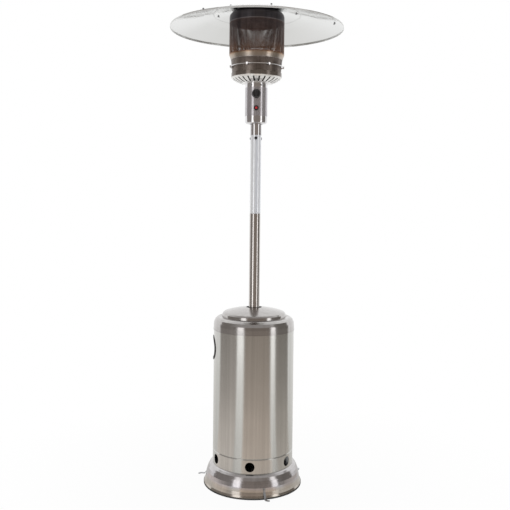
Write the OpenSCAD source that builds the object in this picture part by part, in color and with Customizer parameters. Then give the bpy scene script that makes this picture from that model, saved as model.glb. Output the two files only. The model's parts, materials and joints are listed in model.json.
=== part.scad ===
// Free-standing gas patio heater: flared base, lifting bottle housing, two-piece post,
// control housing, burner with perforated emitter and a wide shallow reflector.
// Millimetres, Z up, origin on the floor under the post. The front, with the knob, faces -Y.

/* [Base] */
// Radius of the base sheet at the floor
base_r = 224.5; // [215:0.5:260]
// Height of the ledge that the bottle housing stands on
base_h = 98; // [85:1:130]
// Thickness of the base sheet
base_t = 1.5; // [1:0.1:2.5]
// Height of the upright lip at the bottom of the base
base_lip_h = 7; // [6:0.5:10]
// Height of the raised bottle seat above the ledge
seat_step_h = 6; // [4:0.5:10]
// Wall of the soft edge trim
trim_t = 1.5; // [1:0.1:2.5]
// Height of the soft edge trim
trim_h = 6; // [4:0.5:6]
// Width of an anchor hook's strap
hook_w = 10; // [8:0.5:12]
// Thickness of an anchor hook's strap
hook_t = 3; // [2:0.1:4]
// Reach of an anchor hook beyond the base
hook_reach = 40; // [36:1:50]
// Radius of the sideways bend at the end of an anchor hook
hook_curl_r = 12; // [9:0.5:14]

/* [Housing] */
// Outer radius of the bottle housing
housing_r = 185; // [180:0.5:195]
// Thickness of the bottle housing's sheet
housing_t = 1; // [0.8:0.1:1.2]
// Height of the bottle housing's straight shell
shell_h = 633; // [620:1:660]
// Radius of a vent hole
vent_r = 21.5; // [15:0.5:24]
// Number of vent holes
vent_count = 6; // [4:1:8]
// Height of the vent holes above the ledge
vent_up = 31; // [28:1:40]
// Height of the pressed groove above the ledge
groove_up = 64; // [60:1:90]
// Depth of the pressed groove
groove_d = 2; // [1:0.1:2.5]
// Height of the hand hole
hand_hole_h = 96; // [80:1:110]
// Width of the hand hole
hand_hole_w = 140; // [120:1:160]
// Centre of the hand hole above the ledge
hand_hole_up = 527; // [480:1:540]
// Wall of the hand hole's trim
hand_trim_t = 3; // [2:0.1:4]
// Radius of the domed disc on the housing cap
cap_disc_r = 147; // [135:1:152]
// Height of the cap from its bead to the foot of its dome
cap_h = 66; // [60:1:75]
// Rise of the cap's domed disc
cap_dome_h = 36; // [24:1:44]
// Radius of the hole that the post passes through
cap_hole_r = 36; // [33:0.5:42]
// Travel of the bottle housing up the post
housing_lift = 620; // [400:10:700]

/* [Frame] */
// Length of a support leg
leg_l = 612; // [600:1:640]
// Radius of a support leg
leg_r = 7.5; // [6:0.1:8]
// Thickness of the bracket plate on the legs
bracket_t = 4; // [3:0.1:6]
// Radius of the post
post_r = 25; // [22:0.1:27]
// Wall of the post
post_t = 1.5; // [1.2:0.1:2]
// Length of the lower post
lower_post_l = 526; // [480:1:600]
// Length of the upper post above the joint
upper_post_l = 409; // [380:1:480]
// Length of the spigot at the post joint
spigot_l = 80; // [50:1:120]
// Radius of the flange at the foot of the post
flange_r = 60; // [52:1:70]
// Thickness of the post flange
flange_t = 5; // [4:0.5:8]

/* [Controls] */
// Outer radius of the control housing
control_r = 51; // [46:0.5:56]
// Height of the control housing's cylinder
control_h = 172; // [160:1:190]
// Wall of the control housing
control_t = 1; // [0.8:0.1:1.5]
// Radius of the gas knob
knob_r = 20.5; // [17:0.1:22]
// Depth of the gas knob
knob_d = 22; // [16:0.5:26]
// Travel of the gas knob when it is pushed
knob_push = 4; // [2:0.5:5]
// Radius of the igniter's ring
igniter_ring_r = 11.5; // [10:0.1:13]
// Radius of the igniter button
igniter_r = 5.5; // [4:0.1:6.5]
// Travel of the igniter button
igniter_push = 4; // [2:0.5:5]

/* [Burner] */
// Radius of the burner pot at its foot
pot_r = 110; // [104:0.5:114]
// Height of the slotted dish
dish_h = 47; // [40:1:55]
// Number of slots in the dish
dish_slots = 26; // [12:1:32]
// Height of the burner pot
pot_h = 79; // [70:1:90]
// Radius of the guard ring's centre line
ring_r = 121.5; // [120:0.5:126]
// Radius of the guard ring's wire
ring_wire_r = 2.2; // [1.5:0.1:3]
// Height of the tinted band under the screen
band_h = 32; // [26:1:40]
// Radius of the perforated screen
screen_r = 126; // [124:0.5:130]
// Height of the perforated screen
screen_h = 121; // [100:1:140]
// Columns of holes in the screen
screen_columns = 36; // [24:1:40]
// Rows of holes in the screen
screen_rows = 7; // [4:1:8]
// Radius of the emitter's flat top
emitter_top_r = 98; // [85:1:105]
// Height of the solid shoulder above the screen
shoulder_h = 51; // [40:1:60]

/* [Reflector] */
// Radius of the reflector
reflector_r = 397; // [380:0.5:430]
// Rise of the reflector from rim to centre
reflector_rise = 81; // [60:1:90]
// Thickness of the reflector's sheet
reflector_t = 1; // [0.8:0.1:1.2]
// Radius of the reflector's centre disc
centre_disc_r = 198; // [185:1:215]
// Height of the turned-down rim
rim_h = 5; // [3:0.5:8]

/* [Hidden] */
$fn = 96;

// Play between pieces that fit together, and between pieces that slide past each other
fit_gap = 0.05;
slide_gap = 0.3;
// Overrun of a cutting tool past the face that it cuts
cut = 2;

// Places up the heater
seat_z = base_h + seat_step_h;
plate_z = seat_z + leg_l;
plate_top_z = plate_z + bracket_t;
joint_z = plate_top_z + lower_post_l;
post_top_z = joint_z + upper_post_l;
cup_rise = 15;
knob_rise = 121;
igniter_rise = 57;
control_z = post_top_z + cup_rise;
control_top_z = control_z + control_h;
knob_z = control_z + knob_rise;
igniter_z = control_z + igniter_rise;
pot_z = control_top_z + dish_h;
band_z = pot_z + pot_h;
screen_z = band_z + band_h;
shoulder_z = screen_z + screen_h;
emitter_top_z = shoulder_z + shoulder_h;
reflector_gap = 3.5;
dome_z = emitter_top_z + reflector_gap;
rim_z = dome_z - reflector_rise;

// Fasteners: radius and height of heads, radius of shanks
bolt_r = 4;
bolt_head_r = 6.5;
bolt_head_h = 5;
screw_r = 2.5;
screw_head_r = 4.5;
screw_head_h = 3;
nut_h = 6;

// Base: points from the lip to the ledge, as shares of the flare's width and of its height
ledge_r = housing_r + 1;
flare_shares = [
    [1, 0], [0.9, 0.09], [0.82, 0.25], [0.74, 0.44], [0.65, 0.6],
    [0.52, 0.75], [0.35, 0.88], [0.175, 0.96], [0, 1]
];
seat_r = housing_r - 2 * housing_t;
leg_inset = 14;
leg_ring_r = housing_r - leg_inset;
leg_turn = 26.3;
hook_turns = [14, -106, 119];
// The bottle stands on a raised pad inside the legs, with a drain hole at its centre
pad_h = 2;
pad_r = leg_ring_r - leg_r - bolt_head_r;
pad_z = seat_z + pad_h;
drain_r = 12;

function flare_point(s, in) =
    [ledge_r + (base_r - ledge_r) * s[0] - in, base_lip_h + (base_h - base_lip_h) * s[1] - in];

// Turns its children from the front of the heater towards its right-hand side
module around(turn) rotate([0, 0, turn]) children();

// The hooks' straps lie on the flare between these two points, which lean inwards
hook_low = flare_point(flare_shares[2], 0);
hook_high = flare_point(flare_shares[3], 0);
hook_lean = atan2(hook_low[0] - hook_high[0], hook_high[1] - hook_low[1]);
flare_wall = base_t * (cos(hook_lean) + sin(hook_lean));

// Puts its children at each hook's rivet, with -Y straight out of the flare
module at_hook_rivets() {
    for (turn = hook_turns)
        around(turn)
            translate([0, -(hook_low[0] + hook_high[0]) / 2, (hook_low[1] + hook_high[1]) / 2])
                rotate([-hook_lean, 0, 0])
                    children();
}

// A cylinder that lies along Y, from y_from to y_to
module lying(r, y_from, y_to) {
    translate([0, y_to, 0])
        rotate([90, 0, 0])
            cylinder(r = r, h = y_to - y_from);
}

module ring_solid(r_out, r_in, z, h) {
    translate([0, 0, z])
        difference() {
            cylinder(r = r_out, h = h);
            translate([0, 0, -cut])
                cylinder(r = r_in, h = h + 2 * cut);
        }
}

module base_skirt() {
    color("silver")
        difference() {
            rotate_extrude()
                polygon(concat(
                    [[base_r, trim_t]],
                    [for (s = flare_shares) flare_point(s, 0)],
                    [[seat_r, base_h], [seat_r, seat_z], [pad_r + pad_h, seat_z], [pad_r, pad_z],
                     [drain_r, pad_z], [drain_r, pad_z - base_t],
                     [pad_r, pad_z - base_t], [pad_r + pad_h, seat_z - base_t],
                     [seat_r - base_t, seat_z - base_t], [seat_r - base_t, base_h - base_t]],
                    [for (i = [len(flare_shares) - 1:-1:0]) flare_point(flare_shares[i], base_t)],
                    [[base_r - base_t, trim_t]]
                ));
            for (i = [0:2])
                around(leg_turn + 120 * i)
                    translate([0, -leg_ring_r, seat_z - base_t - cut])
                        cylinder(r = bolt_r + slide_gap, h = base_t + 2 * cut);
            at_hook_rivets()
                lying(screw_r + fit_gap, -cut, flare_wall + cut);
        }
}

module base_edge_trim() {
    color("dimgray")
        rotate_extrude()
            polygon([
                [base_r + trim_t, 0], [base_r + trim_t, trim_h],
                [base_r + fit_gap, trim_h], [base_r + fit_gap, trim_t - fit_gap],
                [base_r - base_t - fit_gap, trim_t - fit_gap],
                [base_r - base_t - fit_gap, base_lip_h - base_t - fit_gap],
                [base_r - base_t - trim_t, base_lip_h - base_t - fit_gap],
                [base_r - base_t - trim_t, 0]
            ]);
}

// A strap that lies on the flare, drops towards the floor and ends in a sideways curl
hook_foot_z = 6;
hook_foot_r = base_r + trim_t + 3 * hook_t;
hook_curl_at_r = base_r + hook_reach - hook_curl_r - hook_w / 2;
hook_curl_turn = 80;
hook_curl_steps = 8;
function off_flare(p, off) = [p[0] + off * cos(hook_lean), p[1] + off * sin(hook_lean)];
function curl_point(r, turn) = [hook_curl_r - r * cos(turn), -hook_curl_at_r - r * sin(turn)];
function curl_step(k) = hook_curl_turn * k / hook_curl_steps;
function tip_point(turn) = curl_point(hook_curl_r, hook_curl_turn)
    - hook_w / 2 * [cos(hook_curl_turn + turn), sin(hook_curl_turn + turn)];
module anchor_hooks() {
    color("silver")
        difference() {
            for (turn = hook_turns)
                around(turn) {
                    rotate([90, 0, -90])
                        translate([0, 0, -hook_w / 2])
                            linear_extrude(hook_w)
                                polygon([
                                    off_flare(hook_high, fit_gap), off_flare(hook_low, fit_gap),
                                    [hook_foot_r, hook_foot_z],
                                    [hook_curl_at_r, hook_foot_z],
                                    [hook_curl_at_r, hook_foot_z + hook_t],
                                    [hook_foot_r + hook_t / 2, hook_foot_z + hook_t],
                                    off_flare(hook_low, fit_gap + hook_t),
                                    off_flare(hook_high, fit_gap + hook_t)
                                ]);
                    translate([0, 0, hook_foot_z])
                        linear_extrude(hook_t)
                            polygon(concat(
                                [[-hook_w / 2, hook_t - hook_curl_at_r]],
                                [for (k = [0:hook_curl_steps])
                                    curl_point(hook_curl_r + hook_w / 2, curl_step(k))],
                                [for (turn = [30:30:150]) tip_point(turn)],
                                [for (k = [hook_curl_steps:-1:0])
                                    curl_point(hook_curl_r - hook_w / 2, curl_step(k))],
                                [[hook_w / 2, hook_t - hook_curl_at_r]]
                            ));
                }
            at_hook_rivets()
                lying(screw_r + fit_gap, -hook_t - cut, cut);
        }
}

// Each rivet passes through a strap and the flare, with a head on both sides
module hook_rivets() {
    head_y = -(hook_t + 2 * fit_gap);
    color("gray")
        at_hook_rivets() {
            lying(screw_r, head_y - screw_head_h, flare_wall + screw_head_h);
            lying(screw_head_r, head_y - screw_head_h, head_y);
            lying(screw_head_r, flare_wall + fit_gap, flare_wall + screw_head_h);
        }
}

module support_leg(i) {
    color("gray")
        around(leg_turn + 120 * i)
            translate([0, -leg_ring_r, seat_z])
                difference() {
                    cylinder(r = leg_r, h = leg_l);
                    translate([0, 0, -cut])
                        cylinder(r = bolt_r + fit_gap, h = 4 * bolt_head_r + cut);
                    translate([0, 0, leg_l - 4 * bolt_head_r])
                        cylinder(r = bolt_r + fit_gap, h = 4 * bolt_head_r + cut);
                }
}

module support_leg_1() support_leg(0);
module support_leg_2() support_leg(1);
module support_leg_3() support_leg(2);

// Bolts that come up through the bottle seat into the foot of each leg
module leg_foot_bolts() {
    color("dimgray")
        for (i = [0:2])
            around(leg_turn + 120 * i)
                translate([0, -leg_ring_r, 0]) {
                    translate([0, 0, seat_z - base_t - bolt_head_h])
                        cylinder(r = bolt_head_r, h = bolt_head_h, $fn = 6);
                    translate([0, 0, seat_z - base_t - bolt_head_h])
                        cylinder(r = bolt_r, h = bolt_head_h + base_t + 3 * bolt_head_r);
                }
}

// Bolts that go down through the bracket plate into the head of each leg
module leg_head_bolts() {
    color("dimgray")
        for (i = [0:2])
            around(leg_turn + 120 * i)
                translate([0, -leg_ring_r, 0]) {
                    translate([0, 0, plate_top_z])
                        cylinder(r = bolt_head_r, h = bolt_head_h, $fn = 6);
                    translate([0, 0, plate_z - 3 * bolt_head_r])
                        cylinder(r = bolt_r, h = 3 * bolt_head_r + bracket_t + bolt_head_h);
                }
}

flange_bolt_ring_r = (post_r + flange_r) / 2;
bracket_r = leg_ring_r + leg_r;
tube_r = 4;
tube_t = 1;
fitting_r = 11;
bolt_tail = 2;
module post_bracket() {
    color("gray")
        difference() {
            translate([0, 0, plate_z])
                cylinder(r = bracket_r, h = bracket_t);
            for (i = [0:2])
                around(leg_turn + 120 * i)
                    translate([0, -leg_ring_r, plate_z - cut])
                        cylinder(r = bolt_r + fit_gap, h = bracket_t + 2 * cut);
            for (i = [0:3])
                around(45 + 90 * i)
                    translate([0, -flange_bolt_ring_r, plate_z - cut])
                        cylinder(r = bolt_r + fit_gap, h = bracket_t + 2 * cut);
            for (i = [0:2])
                around(leg_turn + 60 + 120 * i)
                    translate([0, -(flange_r + bracket_r) / 2, plate_z - cut])
                        cylinder(r = (bracket_r - flange_r) / 3, h = bracket_t + 2 * cut);
            translate([0, 0, plate_z - cut])
                cylinder(r = fitting_r / 2 + slide_gap, h = bracket_t + 2 * cut);
        }
}

module lower_post() {
    color("gray")
        difference() {
            union() {
                translate([0, 0, plate_top_z])
                    cylinder(r = post_r, h = lower_post_l);
                translate([0, 0, plate_top_z])
                    cylinder(r = flange_r, h = flange_t);
            }
            translate([0, 0, plate_top_z - cut])
                cylinder(r = post_r - post_t, h = lower_post_l + 2 * cut);
            for (i = [0:3])
                around(45 + 90 * i)
                    translate([0, -flange_bolt_ring_r, plate_top_z - cut])
                        cylinder(r = bolt_r + fit_gap, h = flange_t + 2 * cut);
            translate([0, 0, joint_z - spigot_l / 2])
                lying(screw_r + fit_gap, 0, post_r + cut);
        }
}

module post_flange_bolts() {
    color("dimgray")
        for (i = [0:3])
            around(45 + 90 * i)
                translate([0, -flange_bolt_ring_r, 0]) {
                    translate([0, 0, plate_top_z + flange_t])
                        cylinder(r = bolt_head_r, h = bolt_head_h, $fn = 6);
                    translate([0, 0, plate_z - nut_h - bolt_tail])
                        cylinder(r = bolt_r, h = bolt_tail + nut_h + bracket_t + flange_t + bolt_head_h);
                    translate([0, 0, plate_z - nut_h])
                        cylinder(r = bolt_head_r, h = nut_h, $fn = 6);
                }
}

spigot_r = post_r - post_t - fit_gap;
swage_h = 4;
collar_h = 48;
collar_t = 1.5;
collar_bore_r = tube_r + 2 * collar_t;
head_screw_r = 7;
head_screw_z = post_top_z - collar_h - 2 * head_screw_r;
module upper_post() {
    color("whitesmoke")
        difference() {
            rotate_extrude()
                polygon([
                    [spigot_r, joint_z - spigot_l], [spigot_r, joint_z + fit_gap],
                    [post_r, joint_z + swage_h / 2], [post_r, post_top_z],
                    [post_r - post_t, post_top_z], [post_r - post_t, joint_z + 2 * swage_h],
                    [spigot_r - post_t, joint_z + swage_h], [spigot_r - post_t, joint_z - spigot_l]
                ]);
            translate([0, 0, joint_z - spigot_l / 2])
                lying(screw_r + fit_gap, 0, post_r + cut);
            for (i = [0:2])
                around(120 * i)
                    translate([0, 0, head_screw_z])
                        lying(screw_r + fit_gap, -post_r - cut, 0);
        }
}

module post_joint_screw() {
    color("dimgray")
        translate([0, 0, joint_z - spigot_l / 2]) {
            lying(screw_r, post_r - post_t * 4, post_r + fit_gap);
            lying(screw_head_r, post_r + fit_gap, post_r + screw_head_h);
        }
}

valve_w = 34;
valve_h = 44;
valve_front_y = -28;
valve_back_y = 12;
inlet_barb_l = 24;
inlet_nut_h = 12;
inlet_barb_r = 4.5;
module gas_supply_tube() {
    color("goldenrod")
        ring_solid(tube_r, tube_r - tube_t, plate_z - inlet_nut_h / 2,
                   knob_z - valve_h / 2 - plate_z + inlet_nut_h / 2);
}

module gas_inlet_fitting() {
    color("goldenrod")
        difference() {
            union() {
                translate([0, 0, plate_z - inlet_nut_h])
                    cylinder(r = fitting_r, h = inlet_nut_h - fit_gap, $fn = 6);
                translate([0, 0, plate_z - cut])
                    cylinder(r = fitting_r / 2, h = cut + bracket_t + nut_h);
                translate([0, 0, plate_z - inlet_nut_h - inlet_barb_l])
                    cylinder(r = inlet_barb_r, h = inlet_barb_l + cut);
            }
            translate([0, 0, plate_z - inlet_nut_h - inlet_barb_l - cut])
                cylinder(r = tube_r - tube_t, h = inlet_barb_l + inlet_nut_h + bracket_t + nut_h + 2 * cut);
            translate([0, 0, plate_z - inlet_nut_h / 2])
                cylinder(r = tube_r + fit_gap, h = inlet_nut_h + bracket_t + nut_h + cut);
        }
}

// Bottle housing: it stands on the ledge and slides up the post
shell_z = base_h + slide_gap;
shell_top_z = shell_z + shell_h;
groove_z = base_h + groove_up;
groove_w = 7;
vent_turn = -3.7;
hand_turn = -94;
hand_z = base_h + hand_hole_up;
module hand_hole_outline(grow) {
    end_r = hand_hole_h / 2 + grow;
    side = hand_hole_w / 2 - hand_hole_h / 2;
    rotate([90, 0, 0])
        linear_extrude(housing_r + 4 * cut)
            union() {
                translate([-side, 0])
                    circle(r = end_r);
                translate([side, 0])
                    circle(r = end_r);
                translate([-side, -end_r])
                    square([2 * side, 2 * end_r]);
            }
}

module housing_shell() {
    color("lightgray")
        difference() {
            rotate_extrude()
                polygon([
                    [housing_r, shell_z], [housing_r, groove_z - groove_w / 2],
                    [housing_r - groove_d, groove_z], [housing_r, groove_z + groove_w / 2],
                    [housing_r, shell_top_z], [housing_r - housing_t, shell_top_z],
                    [housing_r - housing_t, groove_z + groove_w / 2],
                    [housing_r - housing_t - groove_d, groove_z],
                    [housing_r - housing_t, groove_z - groove_w / 2], [housing_r - housing_t, shell_z]
                ]);
            for (i = [0:vent_count - 1])
                around(vent_turn + 360 / vent_count * i)
                    translate([0, 0, base_h + vent_up])
                        lying(vent_r, -housing_r - cut, -housing_r / 2);
            around(hand_turn)
                translate([0, 0, hand_z])
                    hand_hole_outline(0);
        }
}

// Soft channel pressed over the edge of the hand hole
module hand_hole_trim() {
    color("black")
        around(hand_turn)
            difference() {
                intersection() {
                    translate([0, 0, hand_z])
                        difference() {
                            hand_hole_outline(2 * hand_trim_t);
                            hand_hole_outline(-hand_trim_t);
                        }
                    ring_solid(housing_r + hand_trim_t, housing_r - housing_t - hand_trim_t,
                               hand_z - hand_hole_h, 2 * hand_hole_h);
                }
                difference() {
                    ring_solid(housing_r + fit_gap, housing_r - housing_t - fit_gap,
                               hand_z - hand_hole_h, 2 * hand_hole_h);
                    translate([0, 0, hand_z])
                        hand_hole_outline(-fit_gap);
                }
            }
}

cap_lap = 20;
bead_z = shell_top_z - cap_lap;
bead_h = 4;
bead_w = 1;
crease_w = 4;
crease_r = cap_disc_r + crease_w;
crease_share = 0.83;
crease_z = bead_z + cap_h * crease_share;
cap_z = bead_z + cap_h;
cap_shoulder_r = housing_r + fit_gap + housing_t;
// Shoulder of the cap: shares of its width and of the cap's height
cap_shoulder_shares = [
    [1, 0.34], [0.96, 0.54], [0.8, 0.74], [0.56, 0.85], [0.33, 0.885], [0.13, 0.87], [0, crease_share]
];
// Domed disc: shares of its radius beyond the hole and of its rise
cap_dome_shares = [
    [1, 0], [0.99, 0.17], [0.955, 0.35], [0.89, 0.46], [0.76, 0.58],
    [0.59, 0.71], [0.39, 0.83], [0.2, 0.92], [0, 1]
];
function shoulder_point(s, in) =
    [crease_r + (cap_shoulder_r - crease_r) * s[0] - in, bead_z + cap_h * s[1] - in];
function dome_point(s, in) =
    [cap_hole_r + (cap_disc_r - cap_hole_r - in) * s[0], cap_z + cap_dome_h * s[1] - in];
module housing_cap() {
    color("silver")
        rotate_extrude()
            polygon(concat(
                [[housing_r + fit_gap, bead_z], [cap_shoulder_r + bead_w, bead_z],
                 [cap_shoulder_r + bead_w, bead_z + bead_h], [cap_shoulder_r, bead_z + bead_h]],
                [for (s = cap_shoulder_shares) shoulder_point(s, 0)],
                [[cap_disc_r, crease_z + housing_t], [cap_disc_r, cap_z - housing_t]],
                [for (s = cap_dome_shares) dome_point(s, 0)],
                [[cap_hole_r, cap_z + cap_dome_h - 4 * housing_t],
                 [cap_hole_r + housing_t, cap_z + cap_dome_h - 4 * housing_t]],
                [for (i = [len(cap_dome_shares) - 2:-1:1]) dome_point(cap_dome_shares[i], housing_t)],
                [[cap_disc_r - housing_t, cap_z - housing_t],
                 [cap_disc_r - housing_t, crease_z - housing_t]],
                [for (i = [len(cap_shoulder_shares) - 1:-1:1])
                    shoulder_point(cap_shoulder_shares[i], housing_t)],
                [[housing_r + fit_gap, shell_top_z + fit_gap]]
            ));
}

// Head: a collar over the top of the post carries the control housing
module post_collar() {
    color("silver")
        rotate_extrude()
            polygon([
                [post_r + fit_gap, post_top_z - collar_h], [post_r + collar_t, post_top_z - collar_h],
                [post_r + collar_t, post_top_z + fit_gap], [post_r + 4 * collar_t, post_top_z + fit_gap],
                [post_r + 4 * collar_t, post_top_z + collar_t], [collar_bore_r, post_top_z + collar_t],
                [collar_bore_r, post_top_z + fit_gap], [post_r + fit_gap, post_top_z + fit_gap]
            ]);
}

module head_screws() {
    color("black")
        for (i = [0:2])
            around(120 * i)
                translate([0, 0, head_screw_z]) {
                    lying(screw_r, -post_r - screw_head_h, -post_r + 4 * post_t);
                    lying(head_screw_r, -post_r - screw_head_h, -post_r - fit_gap);
                }
}

panel_t = 0.4;
panel_drop = 19;
panel_foot = 23;
plug_r = 6;
plug_l = 16;
spindle_r = 3;
spindle_hole_r = 5;
plug_floor = 2;
// Room that is left in front of a stop when a control is pushed right in
push_play = 1;
module control_housing() {
    color("silver")
        difference() {
            ring_solid(control_r, control_r - control_t, control_z, control_h);
            translate([0, 0, knob_z])
                lying(spindle_hole_r, -control_r - cut, 0);
            translate([0, 0, igniter_z])
                lying(piezo_r + fit_gap, -control_r - cut, 0);
        }
}

// Shares of the radius beyond the post and of the depth of the rounded base
base_cup_shares = [[1, 1], [0.97, 0.55], [0.85, 0.22], [0.62, 0.05], [0.3, 0], [0, 0]];
cup_h = control_z - post_top_z - collar_t - fit_gap;
cup_z = control_z - cup_h;
cup_r_in = collar_bore_r + control_t;
function cup_point(s, in) =
    [cup_r_in + (control_r - cup_r_in) * s[0] - in, cup_z + cup_h * s[1] + in];
module control_housing_base() {
    color("silver")
        rotate_extrude()
            polygon(concat(
                [for (s = base_cup_shares) cup_point(s, 0)],
                [for (i = [len(base_cup_shares) - 1:-1:1])
                    [cup_point(base_cup_shares[i], 0)[0], cup_point(base_cup_shares[i], control_t)[1]]],
                [[control_r - control_t - fit_gap - control_t, control_z + 2 * control_t],
                 [control_r - control_t - fit_gap - control_t, control_z + 8 * control_t],
                 [control_r - control_t - fit_gap, control_z + 8 * control_t],
                 [control_r - control_t - fit_gap, control_z - fit_gap],
                 [control_r, control_z - fit_gap]]
            ));
}

module control_panel() {
    color("gainsboro")
        difference() {
            ring_solid(control_r + fit_gap + panel_t, control_r + fit_gap,
                       control_z + panel_foot, control_h - panel_foot - panel_drop);
            translate([0, 0, knob_z])
                lying(spindle_hole_r, -control_r - 2 * cut, 0);
            translate([0, 0, igniter_z])
                lying(igniter_ring_r + slide_gap, -control_r - 2 * cut, 0);
        }
}

valve_neck_r = 10;
valve_neck_l = 8;
module gas_valve() {
    color("goldenrod")
        translate([0, 0, knob_z])
            difference() {
                union() {
                    translate([-valve_w / 2, valve_front_y + valve_neck_l, -valve_h / 2])
                        cube([valve_w, valve_back_y - valve_front_y - valve_neck_l, valve_h]);
                    lying(valve_neck_r, valve_front_y, valve_front_y + valve_neck_l + cut);
                }
                lying(plug_r + fit_gap, valve_front_y - cut, valve_front_y + plug_l + fit_gap);
                translate([0, 0, -valve_h / 2 - cut])
                    cylinder(r = tube_r + fit_gap, h = cut + fit_gap);
            }
}

// A plate across the control housing, behind the valve and the tilt switch
valve_bracket_t = 2;
tilt_w = 20;
tilt_h = 28;
tilt_well_r = 6;
tilt_z = knob_z - valve_h / 2 - tilt_h - slide_gap;
valve_bracket_back_y = valve_back_y + fit_gap + valve_bracket_t;
valve_bracket_x = sqrt(pow(control_r - control_t, 2) - pow(valve_bracket_back_y, 2)) - slide_gap;
module valve_bracket() {
    color("gray")
        translate([-valve_bracket_x, valve_back_y + fit_gap, tilt_z])
            cube([2 * valve_bracket_x, valve_bracket_t, knob_z + valve_h / 2 - tilt_z]);
}

module valve_plug() {
    color("gold")
        translate([0, 0, knob_z])
            difference() {
                lying(plug_r, valve_front_y, valve_front_y + plug_l);
                lying(spindle_r + fit_gap, valve_front_y - cut, valve_front_y + plug_l - plug_floor);
            }
}

knob_back_y = -(control_r + panel_t + knob_push + push_play);
knob_grip_w = 9;
module knob_spindle() {
    color("silver")
        translate([0, 0, knob_z])
            lying(spindle_r, knob_back_y - knob_d * 0.6,
                  valve_front_y + plug_l - plug_floor - push_play - knob_push);
}

module control_knob() {
    color("black")
        translate([0, 0, knob_z])
            difference() {
                union() {
                    lying(knob_r, knob_back_y - knob_d * 0.35, knob_back_y);
                    lying(knob_r * 0.86, knob_back_y - knob_d * 0.55, knob_back_y);
                    intersection() {
                        lying(knob_r * 0.86, knob_back_y - knob_d, knob_back_y);
                        translate([-knob_grip_w / 2, knob_back_y - knob_d, -knob_r])
                            cube([knob_grip_w, knob_d, 2 * knob_r]);
                    }
                }
                lying(spindle_r + fit_gap, knob_back_y - knob_d * 0.6 - fit_gap, knob_back_y + cut);
            }
}

piezo_r = 8.5;
igniter_ring_h = 6;
button_depth = 8;
ring_front_y = -(control_r + igniter_ring_h);
button_front_y = ring_front_y - igniter_push;
button_back_y = -(control_r - button_depth);
module piezo_igniter() {
    color("white")
        translate([0, 0, igniter_z])
            difference() {
                lying(piezo_r, -control_r - panel_t, -control_r / 4);
                lying(igniter_r + fit_gap, -control_r - cut, button_back_y + igniter_push + push_play);
            }
}

module igniter_ring() {
    color("black")
        difference() {
            translate([0, 0, igniter_z])
                lying(igniter_ring_r, ring_front_y, -control_r * 0.9);
            translate([0, 0, igniter_z])
                lying(igniter_r + fit_gap, ring_front_y - cut, -control_r / 2);
            translate([0, 0, igniter_z])
                lying(piezo_r + fit_gap, -control_r - panel_t - fit_gap, 0);
            translate([0, 0, igniter_z - 2 * igniter_ring_r])
                cylinder(r = control_r + fit_gap, h = 4 * igniter_ring_r);
        }
}

module igniter_button() {
    color("red")
        translate([0, 0, igniter_z])
            lying(igniter_r, button_front_y, button_back_y);
}

module tilt_switch() {
    color("dimgray")
        translate([control_r * 0.25, valve_back_y - tilt_w, tilt_z])
            difference() {
                cube([tilt_w, tilt_w, tilt_h]);
                translate([tilt_w / 2, tilt_w / 2, tilt_h * 0.7])
                    cylinder(r = tilt_well_r, h = tilt_h);
            }
}

// Gas path above the valve
jet_z = knob_z + valve_h / 2;
jet_h = 14;
jet_r = 4;
jet_hex_r = 7;
jet_bore_r = 1;
mixer_r = 13;
mixer_t = 1.5;
mixer_z = jet_z + jet_r;
air_hole_r = 4;
burner_rise = 18;
burner_z = pot_z + burner_rise;
burner_r = 62;
burner_h = 26;
burner_t = 1.5;
burner_neck_h = 12;
flame_hole_r = 3;
module gas_jet() {
    color("gold")
        difference() {
            union() {
                translate([0, 0, jet_z])
                    cylinder(r = jet_hex_r, h = jet_h / 2, $fn = 6);
                translate([0, 0, jet_z])
                    cylinder(r = jet_r, h = jet_h);
            }
            translate([0, 0, jet_z + jet_h / 2])
                cylinder(r = jet_bore_r, h = jet_h);
        }
}

module mixing_tube() {
    color("gray")
        difference() {
            ring_solid(mixer_r, mixer_r - mixer_t, mixer_z, burner_z - mixer_z);
            for (i = [0:1])
                around(45 + 90 * i)
                    translate([0, 0, mixer_z + 4 * air_hole_r])
                        lying(air_hole_r, -mixer_r - cut, mixer_r + cut);
        }
}

module burner_head() {
    top_z = burner_z + burner_h;
    brim_z = burner_z + burner_h * 0.6;
    rim_top_z = burner_z + burner_h * 0.85;
    color("dimgray")
        difference() {
            rotate_extrude()
                polygon([
                    [mixer_r + fit_gap, burner_z - burner_neck_h],
                    [mixer_r + burner_t, burner_z - burner_neck_h],
                    [mixer_r + burner_t, burner_z], [burner_r, brim_z],
                    [burner_r, rim_top_z], [burner_r * 0.9, top_z],
                    [0, top_z], [0, top_z - burner_t],
                    [burner_r * 0.9 - burner_t / 2, top_z - burner_t],
                    [burner_r - burner_t, rim_top_z - burner_t / 2],
                    [burner_r - burner_t, brim_z + burner_t / 2],
                    [mixer_r + fit_gap, burner_z + burner_t / 2]
                ]);
            for (row = [0:1])
                for (i = [0:11])
                    around(15 * row + 30 * i)
                        translate([0, -burner_r * (0.8 - 0.3 * row), top_z - 2 * cut])
                            cylinder(r = flame_hole_r, h = 4 * cut);
        }
}

// The pilot's tube and the thermocouple leave the sides of the valve and rise beside the mixer
pilot_x = 24;
pilot_r = 2;
pilot_bore_r = 1;
probe_r = 1.5;
probe_tip_r = 3;
probe_tip_h = 12;
side_pipe_z = jet_z - valve_h / 2 + 2 * pilot_r;
side_pipe_h = burner_z - side_pipe_z - 2 * pilot_r;
module side_pipe(r) {
    translate([pilot_x, 0, side_pipe_z])
        cylinder(r = r, h = side_pipe_h);
    translate([valve_w / 2 + fit_gap, 0, side_pipe_z + pilot_r])
        rotate([0, 90, 0])
            cylinder(r = r, h = pilot_x - valve_w / 2 - fit_gap);
}

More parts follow.
